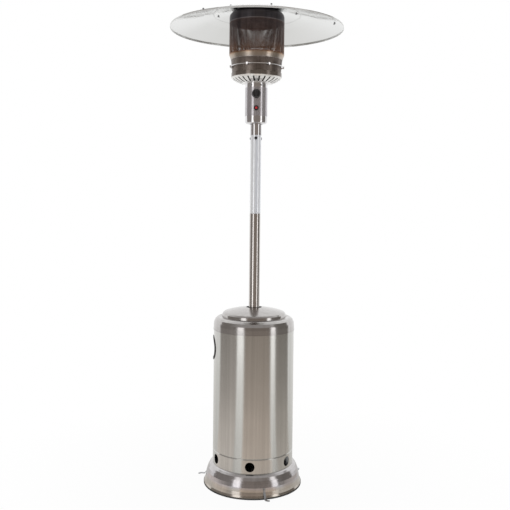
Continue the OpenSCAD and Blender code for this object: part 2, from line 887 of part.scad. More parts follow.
module pilot_tube() {
    color("goldenrod")
        mirror([1, 0, 0])
            difference() {
                side_pipe(pilot_r);
                translate([0, 0, pilot_r])
                    translate([pilot_x, 0, side_pipe_z])
                        cylinder(r = pilot_bore_r, h = side_pipe_h);
            }
}

module thermocouple() {
    color("peru") {
        side_pipe(probe_r);
        translate([pilot_x, 0, side_pipe_z + side_pipe_h - probe_tip_h])
            cylinder(r = probe_tip_r, h = probe_tip_h);
    }
}

dish_t = 1.2;
spark_y = -10;
spark_r = 3;
spark_wire_r = 1;
spark_z = control_top_z + 2 * dish_t + fit_gap;
spark_h = burner_z - spark_z - 4 * spark_r;
module spark_electrode() {
    color("white")
        translate([-pilot_x, spark_y, spark_z]) {
            cylinder(r = spark_r, h = spark_h);
            cylinder(r = spark_wire_r, h = spark_h + 3 * spark_r);
        }
}

// Slotted dish that closes the burner pot from below
dish_lip_h = 19;
dish_flat_r = control_r - control_t - fit_gap;
dish_skirt_h = 6;
// Shares of the width beyond the control housing and of the height below the lip
dish_shares = [[0, 0], [0.35, 0.12], [0.7, 0.45], [0.92, 0.8], [1, 1]];
dish_slot_w = 7;
dish_lip_w = 6;
dish_out_r = pot_r + dish_lip_w;
dish_bore_r = mixer_r + fit_gap;
function dish_point(s, in) =
    [control_r + (dish_out_r - control_r) * s[0] - in,
     control_top_z + (dish_h - dish_lip_h) * s[1] + in];
module slotted_dish() {
    color("whitesmoke")
        difference() {
            rotate_extrude()
                polygon(concat(
                    [[dish_flat_r - dish_t, control_top_z - dish_skirt_h],
                     [dish_flat_r, control_top_z - dish_skirt_h],
                     [dish_flat_r, control_top_z + fit_gap]],
                    [for (s = dish_shares) dish_point(s, 0)],
                    [[dish_out_r, pot_z], [dish_out_r - dish_t, pot_z]],
                    [for (i = [len(dish_shares) - 1:-1:1]) dish_point(dish_shares[i], dish_t)],
                    [[control_r, control_top_z + 2 * dish_t],
                     [dish_bore_r, control_top_z + 2 * dish_t], [dish_bore_r, control_top_z + dish_t],
                     [dish_flat_r - dish_t, control_top_z + dish_t]]
                ));
            for (side = [-1, 1])
                translate([side * pilot_x, 0, control_top_z - cut])
                    cylinder(r = pilot_r + slide_gap, h = 2 * dish_t + 2 * cut);
            for (i = [0:dish_slots - 1])
                around(360 / dish_slots * (i + 0.5))
                    translate([-dish_slot_w / 2, -dish_out_r * 0.94, control_top_z - cut])
                        cube([dish_slot_w, dish_out_r * 0.34, dish_h - dish_lip_h + 4 * cut]);
        }
}

module dish_bolts() {
    color("dimgray")
        for (i = [0:3])
            around(28 + (i % 2 == 0 ? 0 : -56) + (i > 1 ? 180 : 0))
                translate([0, 0, control_top_z - 3 * screw_head_h])
                    lying(screw_head_r, -control_r - screw_head_h, -control_r - fit_gap);
}

pot_t = 1;
pot_flare = 8;
ring_rise = 29;
ring_z = pot_z + ring_rise;
pot_foot_share = (pot_r + dish_t - control_r) / (dish_out_r - control_r);
pot_foot_z = dish_point([0, lookup(pot_foot_share, dish_shares)], dish_t)[1] + fit_gap;
function pot_r_at(z) = pot_r + pot_flare * (z - pot_foot_z) / (band_z - pot_foot_z);
module burner_pot() {
    color("dimgray")
        rotate_extrude()
            polygon([
                [pot_r, pot_foot_z], [pot_r + pot_flare, band_z - fit_gap],
                [pot_r + pot_flare - pot_t, band_z - fit_gap], [pot_r - pot_t, pot_foot_z]
            ]);
}

module guard_ring() {
    color("whitesmoke")
        translate([0, 0, ring_z])
            rotate_extrude()
                translate([ring_r, 0])
                    circle(r = ring_wire_r, $fn = 24);
}

// Bolts that hold the guard ring off the pot
ring_bolt_turns = [-20, 27, 86, 150, 210, -75];
ring_out_r = ring_r + ring_wire_r;
module guard_ring_bolts() {
    color("silver")
        for (turn = ring_bolt_turns)
            around(turn)
                translate([0, 0, ring_z]) {
                    lying(screw_head_r, -ring_out_r - screw_head_h, -ring_out_r - fit_gap);
                    translate([0, 0, -ring_wire_r - screw_r - fit_gap])
                        lying(screw_r, -ring_out_r - screw_head_h, -pot_r_at(ring_z));
                }
}

band_t = 1;
screen_t = 1;
band_foot_r = pot_r + pot_flare + band_t / 2;
band_top_r = screen_r - screen_t / 2;
module emitter_band() {
    color("tan")
        rotate_extrude()
            polygon([
                [band_foot_r, band_z], [band_top_r, screen_z - fit_gap],
                [band_top_r - band_t, screen_z - fit_gap], [band_foot_r - band_t, band_z]
            ]);
}

screen_web = 6;
// Share of a column that its upright web takes
screen_web_share = 0.32;
// A cylinder wall pierced by a grid of windows: odd columns of odd rows are open
module emitter_screen() {
    pitch = (screen_h - screen_web) / screen_rows;
    sides = 2 * screen_columns;
    levels = 2 * screen_rows + 2;
    function turn_at(i) = 360 / screen_columns * (floor(i / 2) + (i % 2) * screen_web_share);
    function level_at(j) = screen_z + pitch * floor(j / 2) + (j % 2) * screen_web;
    function out(i, j) = j * sides + i % sides;
    function in(i, j) = out(i, j) + levels * sides;
    color("darkslategray")
        polyhedron(
            [for (r = [screen_r, screen_r - screen_t])
                for (j = [0:levels - 1])
                    for (i = [0:sides - 1])
                        [r * cos(turn_at(i)), r * sin(turn_at(i)), level_at(j)]],
            concat(
                [for (j = [0:levels - 2]) for (i = [0:sides - 1])
                    if (i % 2 == 0 || j % 2 == 0)
                        [out(i, j), out(i, j + 1), out(i + 1, j + 1), out(i + 1, j)]],
                [for (j = [0:levels - 2]) for (i = [0:sides - 1])
                    if (i % 2 == 0 || j % 2 == 0)
                        [in(i, j), in(i + 1, j), in(i + 1, j + 1), in(i, j + 1)]],
                [for (j = [1:2:levels - 2]) for (i = [1:2:sides - 1])
                    [out(i, j), out(i, j + 1), in(i, j + 1), in(i, j)]],
                [for (j = [1:2:levels - 2]) for (i = [1:2:sides - 1])
                    [out(i + 1, j + 1), out(i + 1, j), in(i + 1, j), in(i + 1, j + 1)]],
                [for (j = [1:2:levels - 2]) for (i = [1:2:sides - 1])
                    [out(i + 1, j), out(i, j), in(i, j), in(i + 1, j)]],
                [for (j = [1:2:levels - 2]) for (i = [1:2:sides - 1])
                    [out(i, j + 1), out(i + 1, j + 1), in(i + 1, j + 1), in(i, j + 1)]],
                [for (i = [0:sides - 1]) [out(i, 0), out(i + 1, 0), in(i + 1, 0), in(i, 0)]],
                [for (i = [0:sides - 1])
                    [out(i + 1, levels - 1), out(i, levels - 1), in(i, levels - 1), in(i + 1, levels - 1)]]
            )
        );
}

shoulder_shares = [
    [1, 0], [1, 0.45], [0.93, 0.62], [0.75, 0.75], [0.35, 0.86], [0, 1]
];
function emitter_point(s, in) =
    [emitter_top_r + (screen_r - emitter_top_r) * s[0] - in,
     shoulder_z + fit_gap + (shoulder_h - fit_gap) * s[1] - (s[1] > 0.5 ? in : 0)];
stud_ring_r = 62;
stud_turns = [20, 140, 260];
stud_r = 3;
stud_tail = 12;
spacer_r = 7.5;
module emitter_shoulder() {
    color("darkslategray")
        difference() {
            rotate_extrude()
                polygon(concat(
                    [for (s = shoulder_shares) emitter_point(s, 0)],
                    [[0, emitter_top_z], [0, emitter_top_z - screen_t]],
                    [for (i = [len(shoulder_shares) - 1:-1:0])
                        emitter_point(shoulder_shares[i], screen_t)]
                ));
            for (turn = stud_turns)
                around(turn)
                    translate([0, -stud_ring_r, emitter_top_z - 2 * cut])
                        cylinder(r = bolt_r + fit_gap, h = 4 * cut);
        }
}

// Reflector: a centre disc, and three panels that lap it and meet along radial seams
// Shares of the radius, and of the rise above the rim
reflector_shares = [
    [1, 0], [0.87, 0.19], [0.74, 0.385], [0.62, 0.57], [0.487, 0.745], [0.36, 0.89], [0.25, 0.985], [0, 1]
];
function dish_z(r) = rim_z + reflector_rise * lookup(r / reflector_r, reflector_shares);
lap_w = 34;
panel_in_r = centre_disc_r - lap_w;
seam_turn = -40;
seam_play = 0.3;
seam_screw_r = reflector_r * 0.89;
lap_screw_r = centre_disc_r - lap_w / 2;

module stud_at(i) {
    around(stud_turns[i])
        translate([0, -stud_ring_r, 0])
            children();
}

module reflector_studs() {
    color("silver")
        for (i = [0:2])
            stud_at(i) {
                translate([0, 0, emitter_top_z - screen_t - bolt_head_h])
                    cylinder(r = bolt_head_r, h = bolt_head_h, $fn = 6);
                translate([0, 0, emitter_top_z - screen_t - bolt_head_h])
                    cylinder(r = stud_r,
                             h = bolt_head_h + screen_t + reflector_gap + reflector_t + stud_tail);
            }
}

module stud_spacers() {
    color("silver")
        for (i = [0:2])
            stud_at(i)
                ring_solid(spacer_r, stud_r + fit_gap, emitter_top_z,
                           dish_z(stud_ring_r + spacer_r) - emitter_top_z - fit_gap);
}

centre_shares = [0, 0.12, 0.25, 0.36, 0.43];
module reflector_centre() {
    color("gainsboro")
        difference() {
            rotate_extrude()
                polygon(concat(
                    [for (s = centre_shares) [reflector_r * s, dish_z(reflector_r * s)]],
                    [[centre_disc_r, dish_z(centre_disc_r)],
                     [centre_disc_r, dish_z(centre_disc_r) + reflector_t]],
                    [for (i = [len(centre_shares) - 1:-1:0])
                        [reflector_r * centre_shares[i],
                         dish_z(reflector_r * centre_shares[i]) + reflector_t]]
                ));
            for (i = [0:2])
                stud_at(i)
                    translate([0, 0, dome_z - 3 * cut])
                        cylinder(r = bolt_r, h = 6 * cut);
            for (i = [0:5])
                around(seam_turn + 60 * i)
                    translate([0, -lap_screw_r, dish_z(lap_screw_r) - 3 * cut])
                        cylinder(r = screw_r + slide_gap, h = 6 * cut);
        }
}

panel_shares = [0.43, 0.487, 0.62, 0.74, 0.87];
module reflector_panel(i) {
    lift = reflector_t + fit_gap;
    r_points = concat([panel_in_r], [for (s = panel_shares) reflector_r * s]);
    // Half the seam's play, as a turn at the rim
    play_turn = seam_play / reflector_r * 90 / PI;
    color("gainsboro")
        difference() {
            around(seam_turn - 90 + 120 * i + play_turn)
                rotate_extrude(angle = 120 - 2 * play_turn)
                    polygon(concat(
                        [for (r = r_points) [r, dish_z(r) + lift]],
                        [[reflector_r - reflector_t, rim_z + lift],
                         [reflector_r - reflector_t, rim_z - rim_h], [reflector_r, rim_z - rim_h],
                         [reflector_r, rim_z + lift + reflector_t]],
                        [for (k = [len(r_points) - 1:-1:0])
                            [r_points[k], dish_z(r_points[k]) + lift + reflector_t]]
                    ));
            for (k = [0:5])
                around(seam_turn + 60 * k)
                    translate([0, -lap_screw_r, dish_z(lap_screw_r) - 3 * cut])
                        cylinder(r = screw_r + slide_gap, h = 6 * cut);
            for (k = [0:2])
                around(seam_turn + 120 * k)
                    translate([0, -seam_screw_r, dish_z(seam_screw_r) - 3 * cut])
                        cylinder(r = screw_r + slide_gap, h = 6 * cut);
        }
}

module reflector_panel_1() reflector_panel(0);
module reflector_panel_2() reflector_panel(1);
module reflector_panel_3() reflector_panel(2);

// Each screw has its head below the sheet and its nut above it
module sheet_screw(r, sheets) {
    under_z = dish_z(r + screw_head_r) - fit_gap;
    over_z = dish_z(r - screw_head_r) + sheets * (reflector_t + fit_gap) + fit_gap;
    translate([0, -r, 0]) {
        translate([0, 0, under_z - screw_head_h])
            cylinder(r = screw_head_r, h = screw_head_h);
        translate([0, 0, under_z - screw_head_h])
            cylinder(r = screw_r, h = over_z - under_z + screw_head_h + nut_h);
        translate([0, 0, over_z])
            cylinder(r = screw_head_r, h = nut_h * 0.8, $fn = 6);
    }
}

module reflector_screws() {
    color("dimgray") {
        for (i = [0:5])
            around(seam_turn + 60 * i)
                sheet_screw(lap_screw_r, 2);
        for (i = [0:2])
            around(seam_turn + 120 * i)
                sheet_screw(seam_screw_r, 2);
    }
}

module stud_nuts() {
    color("silver")
        for (i = [0:2])
            stud_at(i)
                ring_solid(bolt_head_r, stud_r + fit_gap, dome_z + reflector_t + fit_gap, nut_h);
}

base_skirt();
base_edge_trim();
anchor_hooks();
hook_rivets();
support_leg_1();
support_leg_2();
support_leg_3();
leg_foot_bolts();
leg_head_bolts();
post_bracket();
lower_post();
post_flange_bolts();
upper_post();
post_joint_screw();
gas_supply_tube();
gas_inlet_fitting();
housing_shell();
housing_cap();
hand_hole_trim();
post_collar();
head_screws();
control_housing();
control_housing_base();
control_panel();
gas_valve();
valve_bracket();
valve_plug();
knob_spindle();
control_knob();
gas_jet();
mixing_tube();
burner_head();
pilot_tube();
thermocouple();
spark_electrode();
piezo_igniter();
igniter_ring();
igniter_button();
tilt_switch();
slotted_dish();
dish_bolts();
burner_pot();
guard_ring();
guard_ring_bolts();
emitter_band();
emitter_screen();
emitter_shoulder();
reflector_studs();
stud_spacers();
reflector_centre();
reflector_panel_1();
reflector_panel_2();
reflector_panel_3();
reflector_screws();
stud_nuts();
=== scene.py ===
"""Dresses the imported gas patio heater: steel base and bottle housing, post, burner, reflector.

Lengths are metres in the frame of the CAD model: Z up, the front with the knob faces -Y.
"""

import json
import logging
import math
from dataclasses import dataclass, field, replace
from enum import Enum
from typing import Any, Callable, ClassVar

import bmesh
import bpy
from mathutils import Matrix, Vector

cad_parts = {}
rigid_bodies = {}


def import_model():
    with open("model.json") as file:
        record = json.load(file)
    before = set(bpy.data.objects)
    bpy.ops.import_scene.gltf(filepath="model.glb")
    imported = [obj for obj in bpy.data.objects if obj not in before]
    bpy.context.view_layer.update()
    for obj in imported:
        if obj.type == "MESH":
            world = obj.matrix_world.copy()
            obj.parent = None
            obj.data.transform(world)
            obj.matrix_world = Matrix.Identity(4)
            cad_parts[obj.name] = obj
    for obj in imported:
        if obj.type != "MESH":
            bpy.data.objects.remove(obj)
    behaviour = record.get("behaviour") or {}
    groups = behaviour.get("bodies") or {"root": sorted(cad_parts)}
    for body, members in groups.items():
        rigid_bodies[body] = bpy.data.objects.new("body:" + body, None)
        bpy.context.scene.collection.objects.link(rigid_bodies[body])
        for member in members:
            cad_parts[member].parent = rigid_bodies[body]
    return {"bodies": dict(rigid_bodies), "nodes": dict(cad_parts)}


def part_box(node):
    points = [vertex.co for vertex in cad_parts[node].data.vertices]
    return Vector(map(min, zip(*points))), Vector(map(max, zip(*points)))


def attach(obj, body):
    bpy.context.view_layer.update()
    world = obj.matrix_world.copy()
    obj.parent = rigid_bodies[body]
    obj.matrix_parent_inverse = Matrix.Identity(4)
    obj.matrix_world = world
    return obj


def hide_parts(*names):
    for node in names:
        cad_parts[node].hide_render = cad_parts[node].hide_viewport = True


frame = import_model()

Colour = tuple[float, float, float]
Span = tuple[float, float]
Stops = tuple[tuple[float, Colour], ...]
Shares = tuple[tuple[float, float], ...]
Outline = list[tuple[float, float]]

log = logging.getLogger("patio_heater")

WHITE: Colour = (1.0, 1.0, 1.0)

# Detail of noise.
FINE = 4.0
MEDIUM = 2.0
SOFT = 1.0

# Metal: noise runs from WEAR_SPAN[0] to WEAR_SPAN[1] while the wear goes from none to full.
WEAR_SPAN: Span = (0.36, 0.64)
STREAK_RISE = 0.5
NOISE_MIDDLE = 0.5
TINT_WOBBLE = 0.12
# Painted shade: the nearly black colour that stands in for the shade inside the bottle housing.
PAINTED_SHADE_TONE: Colour = (0.03, 0.03, 0.03)
RIM_DULLING = 0.8
BRUSH_TURN = 0.25
ROUGH_LINES = 0.6
ROUGH_SPAN: Span = (0.5, 1.1)
ROUGH_SHARES: Span = (0.82, 1.2)

# Plastic and ceramic.
MOTTLE_SCALE = 40.0
MOTTLE_SPAN: Span = (0.35, 0.65)
MOTTLE_SHARES: Span = (0.85, 1.15)

# Sides of rings and thin walls, the angle up to which faces shade as one, and a weld's reach.
RING_SIDES = 160
WALL_SIDES = 128
SMOOTH_DEGREES = 35.0
WELD = 1e-6


def rgba(colour: Colour) -> tuple[float, float, float, float]:
    """Gives a colour its alpha of one."""
    return (*colour, 1.0)


class Signal:
    """A shader output that takes part in arithmetic and adds Math nodes as it does."""

    def __init__(self, shop: "NodeShop", socket: bpy.types.NodeSocket) -> None:
        """Wraps a socket.

        Args:
            shop: The maker of the tree's nodes.
            socket: The output that the signal comes from.
        """
        self.shop = shop
        self.socket = socket

    def __add__(self, other: "Number") -> "Signal":
        """Adds a number or a signal."""
        return self.shop.maths("ADD", self, other)

    def __radd__(self, other: "Number") -> "Signal":
        """Adds the signal to a number."""
        return self.shop.maths("ADD", other, self)

    def __sub__(self, other: "Number") -> "Signal":
        """Subtracts a number or a signal."""
        return self.shop.maths("SUBTRACT", self, other)

    def __rsub__(self, other: "Number") -> "Signal":
        """Subtracts the signal from a number."""
        return self.shop.maths("SUBTRACT", other, self)

    def __mul__(self, other: "Number") -> "Signal":
        """Multiplies by a number or a signal."""
        return self.shop.maths("MULTIPLY", self, other)

    def __rmul__(self, other: "Number") -> "Signal":
        """Multiplies a number by the signal."""
        return self.shop.maths("MULTIPLY", other, self)


Number = float | Signal


class NodeShop:
    """Makes the nodes of one tree."""

    def __init__(self, tree: bpy.types.NodeTree) -> None:
        """Empties the tree.

        Args:
            tree: The node tree to fill.
        """
        self.tree = tree
        tree.nodes.clear()

    def node(self, kind: str, settings: dict[str, Any] | None = None,
             sockets: dict[Any, Any] | None = None) -> bpy.types.Node:
        """Adds a node, sets it up and feeds its inputs.

        Args:
            kind: The node's type.
            settings: Attributes to set first; "stops" fills a colour ramp.
            sockets: Values or signals by the input's name or number.

        Returns:
            The new node.
        """
        made = self.tree.nodes.new(kind)
        for name, value in (settings or {}).items():
            if name == "stops":
                self._fill_ramp(made.color_ramp, value)
            else:
                setattr(made, name, value)
        self.feed(made, sockets or {})
        return made

    def feed(self, node: bpy.types.Node, sockets: dict[Any, Any]) -> None:
        """Feeds inputs of a node with values or signals.

        Args:
            node: The node.
            sockets: Values or signals by the input's name or number.
        """
        for key, value in sockets.items():
            if isinstance(value, Signal):
                self.tree.links.new(value.socket, node.inputs[key])
            else:
                node.inputs[key].default_value = value

    @staticmethod
    def _fill_ramp(ramp: bpy.types.ColorRamp, stops: Stops) -> None:
        """Gives a colour ramp its stops.

        Args:
            ramp: The ramp, which starts with two stops.
            stops: Places and colours in rising order.
        """
        while len(ramp.elements) < len(stops):
            ramp.elements.new(1.0)
        for element, (place, colour) in zip(ramp.elements, stops):
            element.position = place
            element.color = rgba(colour)

    def signal(self, kind: str, settings: dict[str, Any] | None = None,
               sockets: dict[Any, Any] | None = None, output: Any = 0) -> Signal:
        """Adds a node and returns one of its outputs, with the arguments of node()."""
        return Signal(self, self.node(kind, settings, sockets).outputs[output])

    def maths(self, operation: str, *values: Number) -> Signal:
        """Adds a Math node on the values."""
        return self.signal("ShaderNodeMath", {"operation": operation}, dict(enumerate(values)))

    def place(self, scale: Colour = WHITE) -> Signal:
        """Returns object coordinates, stretched by a factor for each axis."""
        spot = self.signal("ShaderNodeTexCoord", output="Object")
        return self.signal("ShaderNodeMapping", sockets={"Vector": spot, "Scale": scale})

    def length(self, spot: Signal) -> Signal:
        """Returns how far a place lies from the origin."""
        return self.signal("ShaderNodeVectorMath", {"operation": "LENGTH"}, {0: spot},
                           output="Value")

    def axis(self, spot: Signal, number: int) -> Signal:
        """Returns one coordinate of a place."""
        return self.signal("ShaderNodeSeparateXYZ", sockets={0: spot}, output=number)

    def noise(self, spot: Signal, scale: float, detail: float = 3.0) -> Signal:
        """Returns noise between 0 and 1 at a place."""
        return self.signal("ShaderNodeTexNoise",
                           sockets={"Vector": spot, "Scale": scale, "Detail": detail})

    def spread(self, value: Number, low: float, high: float, to_low: float = 0.0,
               to_high: float = 1.0) -> Signal:
        """Maps a range of a value to another one and clamps it.

        Args:
            value: The value to map.
            low: Where the source range starts.
            high: Where it ends.
            to_low: What the start becomes.
            to_high: What the end becomes.

        Returns:
            The mapped signal.
        """
        return self.signal("ShaderNodeMapRange", sockets={
            "Value": value, "From Min": low, "From Max": high,
            "To Min": to_low, "To Max": to_high})

    def mix(self, factor: Number, first: Any, second: Any, blend: str = "MIX") -> Signal:
        """Mixes two colours."""
        return self.signal("ShaderNodeMix", {"data_type": "RGBA", "blend_type": blend},
                           {0: factor, 6: first, 7: second}, output=2)

    def ramp(self, factor: Number, stops: Stops) -> Signal:
        """Returns a colour along the stops of a ramp."""
        return self.signal("ShaderNodeValToRGB", {"stops": stops}, {0: factor})

    def bump(self, height: Signal, depth: float, **under: Signal) -> Signal:
        """Returns the normal of a relief; "Normal" may name a relief that lies under it."""
        return self.signal("ShaderNodeBump", sockets={
            "Height": height, "Strength": 1.0, "Distance": depth, **under})

    def surface(self, shader: Signal) -> None:
        """Ends a material's tree with a shader."""
        self.node("ShaderNodeOutputMaterial", sockets={"Surface": shader})


def blank_material(name: str) -> tuple[bpy.types.Material, NodeShop]:
    """Makes a material that has no nodes yet.

    Args:
        name: The material's name.

    Returns:
        The material and the maker of its nodes.
    """
    made = bpy.data.materials.new(name)
    made.use_nodes = True
    return made, NodeShop(made.node_tree)


class Grain(Enum):
    """Which way the fine lines of a brushed sheet run."""

    AROUND = (3.0, 3.0, 620.0)
    UP = (620.0, 620.0, 5.0)
    ALL_WAYS = (260.0, 260.0, 260.0)


class Finish:
    """A surface that can be given to any number of pieces."""

    name: str
    _made: ClassVar[dict[str, bpy.types.Material]] = {}

    def material(self) -> bpy.types.Material:
        """Makes the finish's material when it is first asked for.

        Returns:
            The material, one and the same for all pieces.
        """
        if self.name not in Finish._made:
            made, shop = blank_material(self.name)
            shader = shop.node("ShaderNodeBsdfPrincipled")
            self.fill(shop, shader)
            shop.surface(Signal(shop, shader.outputs[0]))
            Finish._made[self.name] = made
        return Finish._made[self.name]

    def fill(self, shop: NodeShop, shader: bpy.types.Node) -> None:
        """Sets up the Principled shader.

        Args:
            shop: The maker of the material's nodes.
            shader: The Principled node.
        """
        raise NotImplementedError


@dataclass(frozen=True)
class Sheet(Finish):
    """Rolled or drawn metal with grain, cloudy patches and a soft waviness.

    Attributes:
        name: The material's name.
        pale: Its colour where it is least worn.
        deep: Its colour where it is most worn.
        roughness: Its middle roughness.
        grain: Which way its fine lines run.
        grain_depth: How deep the lines are.
        grain_tone: Their share in the wear.
        streak_tone: The share of upright streaks in the wear. Clouds have the rest.
        streak_scale: How close together the streaks stand.
        cloud_scale: How small the clouds are.
        wave_depth: How far the sheet bulges, or 0.
        wave_scale: How small the bulges are.
        metallic: How metallic it is.
        bands: Heights between which the tints run.
        tints: Colours that multiply its own one, along the bands.
        stretch: How far the brushing draws reflections out.
        painted_shade_within: Distance from the Z axis within which it is painted nearly black, as
            the shade inside the bottle housing, or 0.
        pale_below: Height below which it is less of a mirror, or 0.
    """

    name: str
    pale: Colour
    deep: Colour
    roughness: float
    grain: Grain = Grain.AROUND
    grain_depth: float = 0.00002
    grain_tone: float = 0.2
    streak_tone: float = 0.45
    streak_scale: float = 60.0
    cloud_scale: float = 5.0
    wave_depth: float = 0.0
    wave_scale: float = 9.0
    metallic: float = 1.0
    bands: Span = (0.0, 1.0)
    tints: Stops = ()
    stretch: float = 0.0
    painted_shade_within: float = 0.0
    pale_below: float = 0.0

    def fill(self, shop: NodeShop, shader: bpy.types.Node) -> None:
        """Sets colour and roughness from grain and clouds, and the relief from both.

        Args:
            shop: The maker of the material's nodes.
            shader: The Principled node.
        """
        spot = shop.place()
        lines = shop.noise(shop.place(self.grain.value), 1.0, FINE)
        clouds = shop.noise(spot, self.cloud_scale, FINE)
        rough = shop.spread(clouds + lines * ROUGH_LINES, *ROUGH_SPAN,
                            *(self.roughness * share for share in ROUGH_SHARES))
        relief = shop.bump(lines, self.grain_depth)
        if self.wave_depth:
            wave = shop.noise(spot, self.wave_scale, SOFT)
            relief = shop.bump(wave, self.wave_depth, Normal=relief)
        metal: Number = self.metallic
        if self.pale_below:
            rim = shop.maths("LESS_THAN", shop.axis(spot, 2), self.pale_below)
            metal = metal - rim * RIM_DULLING
        shop.feed(shader, {"Base Color": self.colour(shop, spot, lines, clouds),
                           "Roughness": rough, "Normal": relief, "Metallic": metal,
                           "Anisotropic": self.stretch, "Anisotropic Rotation": BRUSH_TURN})

    def colour(self, shop: NodeShop, spot: Signal, lines: Signal, clouds: Signal) -> Signal:
        """Mixes the pale and the deep colour by wear, lays the tints over them and paints shade
        near the axis.

        Args:
            shop: The maker of the material's nodes.
            spot: The object coordinates.
            lines: Noise of the fine lines.
            clouds: Noise of the cloudy patches.

        Returns:
            The colour.
        """
        streaks = shop.noise(shop.place((self.streak_scale, self.streak_scale, STREAK_RISE)),
                             1.0, MEDIUM)
        rest = 1.0 - self.grain_tone - self.streak_tone
        worn = shop.spread(lines * self.grain_tone + streaks * self.streak_tone + clouds * rest,
                           *WEAR_SPAN)
        colour = shop.mix(worn, rgba(self.pale), rgba(self.deep))
        if self.tints:
            height = shop.spread(shop.axis(spot, 2), *self.bands)
            tint = shop.ramp(height + (clouds - NOISE_MIDDLE) * TINT_WOBBLE, self.tints)
            colour = shop.mix(1.0, colour, tint, "MULTIPLY")
        # Painted shade: near the Z axis the colour turns nearly black, standing in for the shade
        # inside the housing.
        if self.painted_shade_within:
            inner = shop.maths("LESS_THAN", shop.length(shop.place((1.0, 1.0, 0.0))),
                               self.painted_shade_within)
            colour = shop.mix(inner, colour, rgba(PAINTED_SHADE_TONE))
        return colour


@dataclass(frozen=True)
class Moulding(Finish):
    """Moulded plastic, rubber or glazed ceramic with a fine skin."""

    name: str
    pale: Colour
    deep: Colour
    roughness: float
    skin_scale: float = 900.0
    skin_depth: float = 0.00003
    coat: float = 0.0

    def fill(self, shop: NodeShop, shader: bpy.types.Node) -> None:
        """Sets a mottled colour under a fine pebbled skin.

        Args:
            shop: The maker of the material's nodes.
            shader: The Principled node.
        """
        spot = shop.place()
        mottle = shop.spread(shop.noise(spot, MOTTLE_SCALE, FINE), *MOTTLE_SPAN)
        rough = shop.spread(mottle, 0.0, 1.0, *(self.roughness * share for share in MOTTLE_SHARES))
        skin = shop.noise(spot, self.skin_scale, MEDIUM)
        shop.feed(shader, {"Base Color": shop.mix(mottle, rgba(self.pale), rgba(self.deep)),
                           "Roughness": rough, "Normal": shop.bump(skin, self.skin_depth),
                           "Coat Weight": self.coat})


BRUSHED = Sheet("brushed_stainless", (0.645, 0.64, 0.615), (0.53, 0.525, 0.50), 0.24, Grain.UP,
                grain_depth=0.000006, cloud_scale=4.0, wave_depth=0.0003, wave_scale=3.0,
                stretch=0.9)
POST = Sheet("brushed_post", (0.66, 0.63, 0.61), (0.57, 0.545, 0.525), 0.2, Grain.UP,
             grain_depth=0.0000005, cloud_scale=6.0, stretch=0.5)
POLISHED = Sheet("polished_stainless", (0.8, 0.79, 0.8), (0.68, 0.67, 0.68), 0.12,
                 grain_depth=0.000003, cloud_scale=7.0, wave_depth=0.0004, wave_scale=6.0)
FLARE = Sheet("drawn_stainless_base", (0.62, 0.60, 0.59), (0.5, 0.485, 0.48), 0.16,
              grain_depth=0.000006, cloud_scale=6.0, wave_depth=0.0008, wave_scale=6.0,
              bands=(0.0, 0.11),
              tints=((0.0, (0.95, 0.9, 0.82)), (0.3, (0.98, 0.94, 0.87)),
                     (0.42, (0.97, 0.97, 1.02)), (1.0, WHITE)))
CAP = Sheet("polished_cap", (0.56, 0.543, 0.533), (0.465, 0.447, 0.438), 0.15,
            grain_depth=0.000005, cloud_scale=6.0, wave_depth=0.0006, wave_scale=6.0)
ZINC = Sheet("zinc_plated_steel", (0.5, 0.51, 0.53), (0.4, 0.41, 0.42), 0.34, Grain.ALL_WAYS,
             grain_depth=0.00001, cloud_scale=24.0)
ALUMINIUM = Sheet("bright_aluminium", (0.76, 0.765, 0.755), (0.72, 0.725, 0.715), 0.12,
                  Grain.ALL_WAYS, grain_depth=0.0000004, grain_tone=0.05, streak_tone=0.0,
                  cloud_scale=3.0, wave_depth=0.0004, wave_scale=3.5)
FILMED = Sheet("film_on_steel", (0.98, 0.99, 1.0), (0.82, 0.86, 0.93), 0.16, Grain.UP,
               grain_depth=0.000001, streak_tone=0.75, streak_scale=120.0, metallic=0.3)
SCREEN = Sheet("perforated_steel", (0.16, 0.12, 0.11), (0.065, 0.052, 0.052), 0.42, Grain.UP,
               grain_depth=0.00001, cloud_scale=14.0, metallic=0.9,
               tints=((0.0, (1.7, 1.2, 0.8)), (0.25, (1.2, 1.02, 0.92)), (0.8, (1.0, 1.0, 1.05)),
                      (1.0, (1.25, 1.05, 0.95))))
SHOULDER = Sheet("heat_dark_steel", (0.10, 0.092, 0.1), (0.05, 0.046, 0.052), 0.4,
                 grain_depth=0.00001, cloud_scale=12.0, metallic=0.9)
TINTED = Sheet("heat_tinted_steel", (0.5, 0.455, 0.41), (0.39, 0.35, 0.315), 0.32,
               grain_depth=0.000006, cloud_scale=10.0,
               tints=((0.0, WHITE), (0.7, (1.05, 0.97, 0.88)), (1.0, (1.05, 0.85, 0.65))))
SCORCHED = Sheet("scorched_steel_edge", (0.36, 0.2, 0.12), (0.22, 0.12, 0.075), 0.32,
                 grain_depth=0.000006, cloud_scale=14.0)
HEM = Sheet("heat_dark_hem", (0.24, 0.215, 0.22), (0.15, 0.135, 0.14), 0.42,
            grain_depth=0.000006, cloud_scale=12.0, metallic=0.9)
POT = Sheet("warm_dark_steel", (0.31, 0.265, 0.235), (0.13, 0.107, 0.094), 0.42, Grain.UP,
            grain_depth=0.000002, cloud_scale=9.0)
DISH = Sheet("polished_dish", (0.92, 0.91, 0.89), (0.8, 0.79, 0.77), 0.16,
             grain_depth=0.000002, cloud_scale=9.0, metallic=0.55,
             tints=((0.0, WHITE), (0.58, (1.0, 1.0, 0.99)), (0.62, (0.22, 0.185, 0.165)),
                    (1.0, (0.2, 0.17, 0.15))))
BRASS = Sheet("machined_brass", (0.75, 0.56, 0.26), (0.62, 0.45, 0.2), 0.28, Grain.ALL_WAYS,
              cloud_scale=40.0)
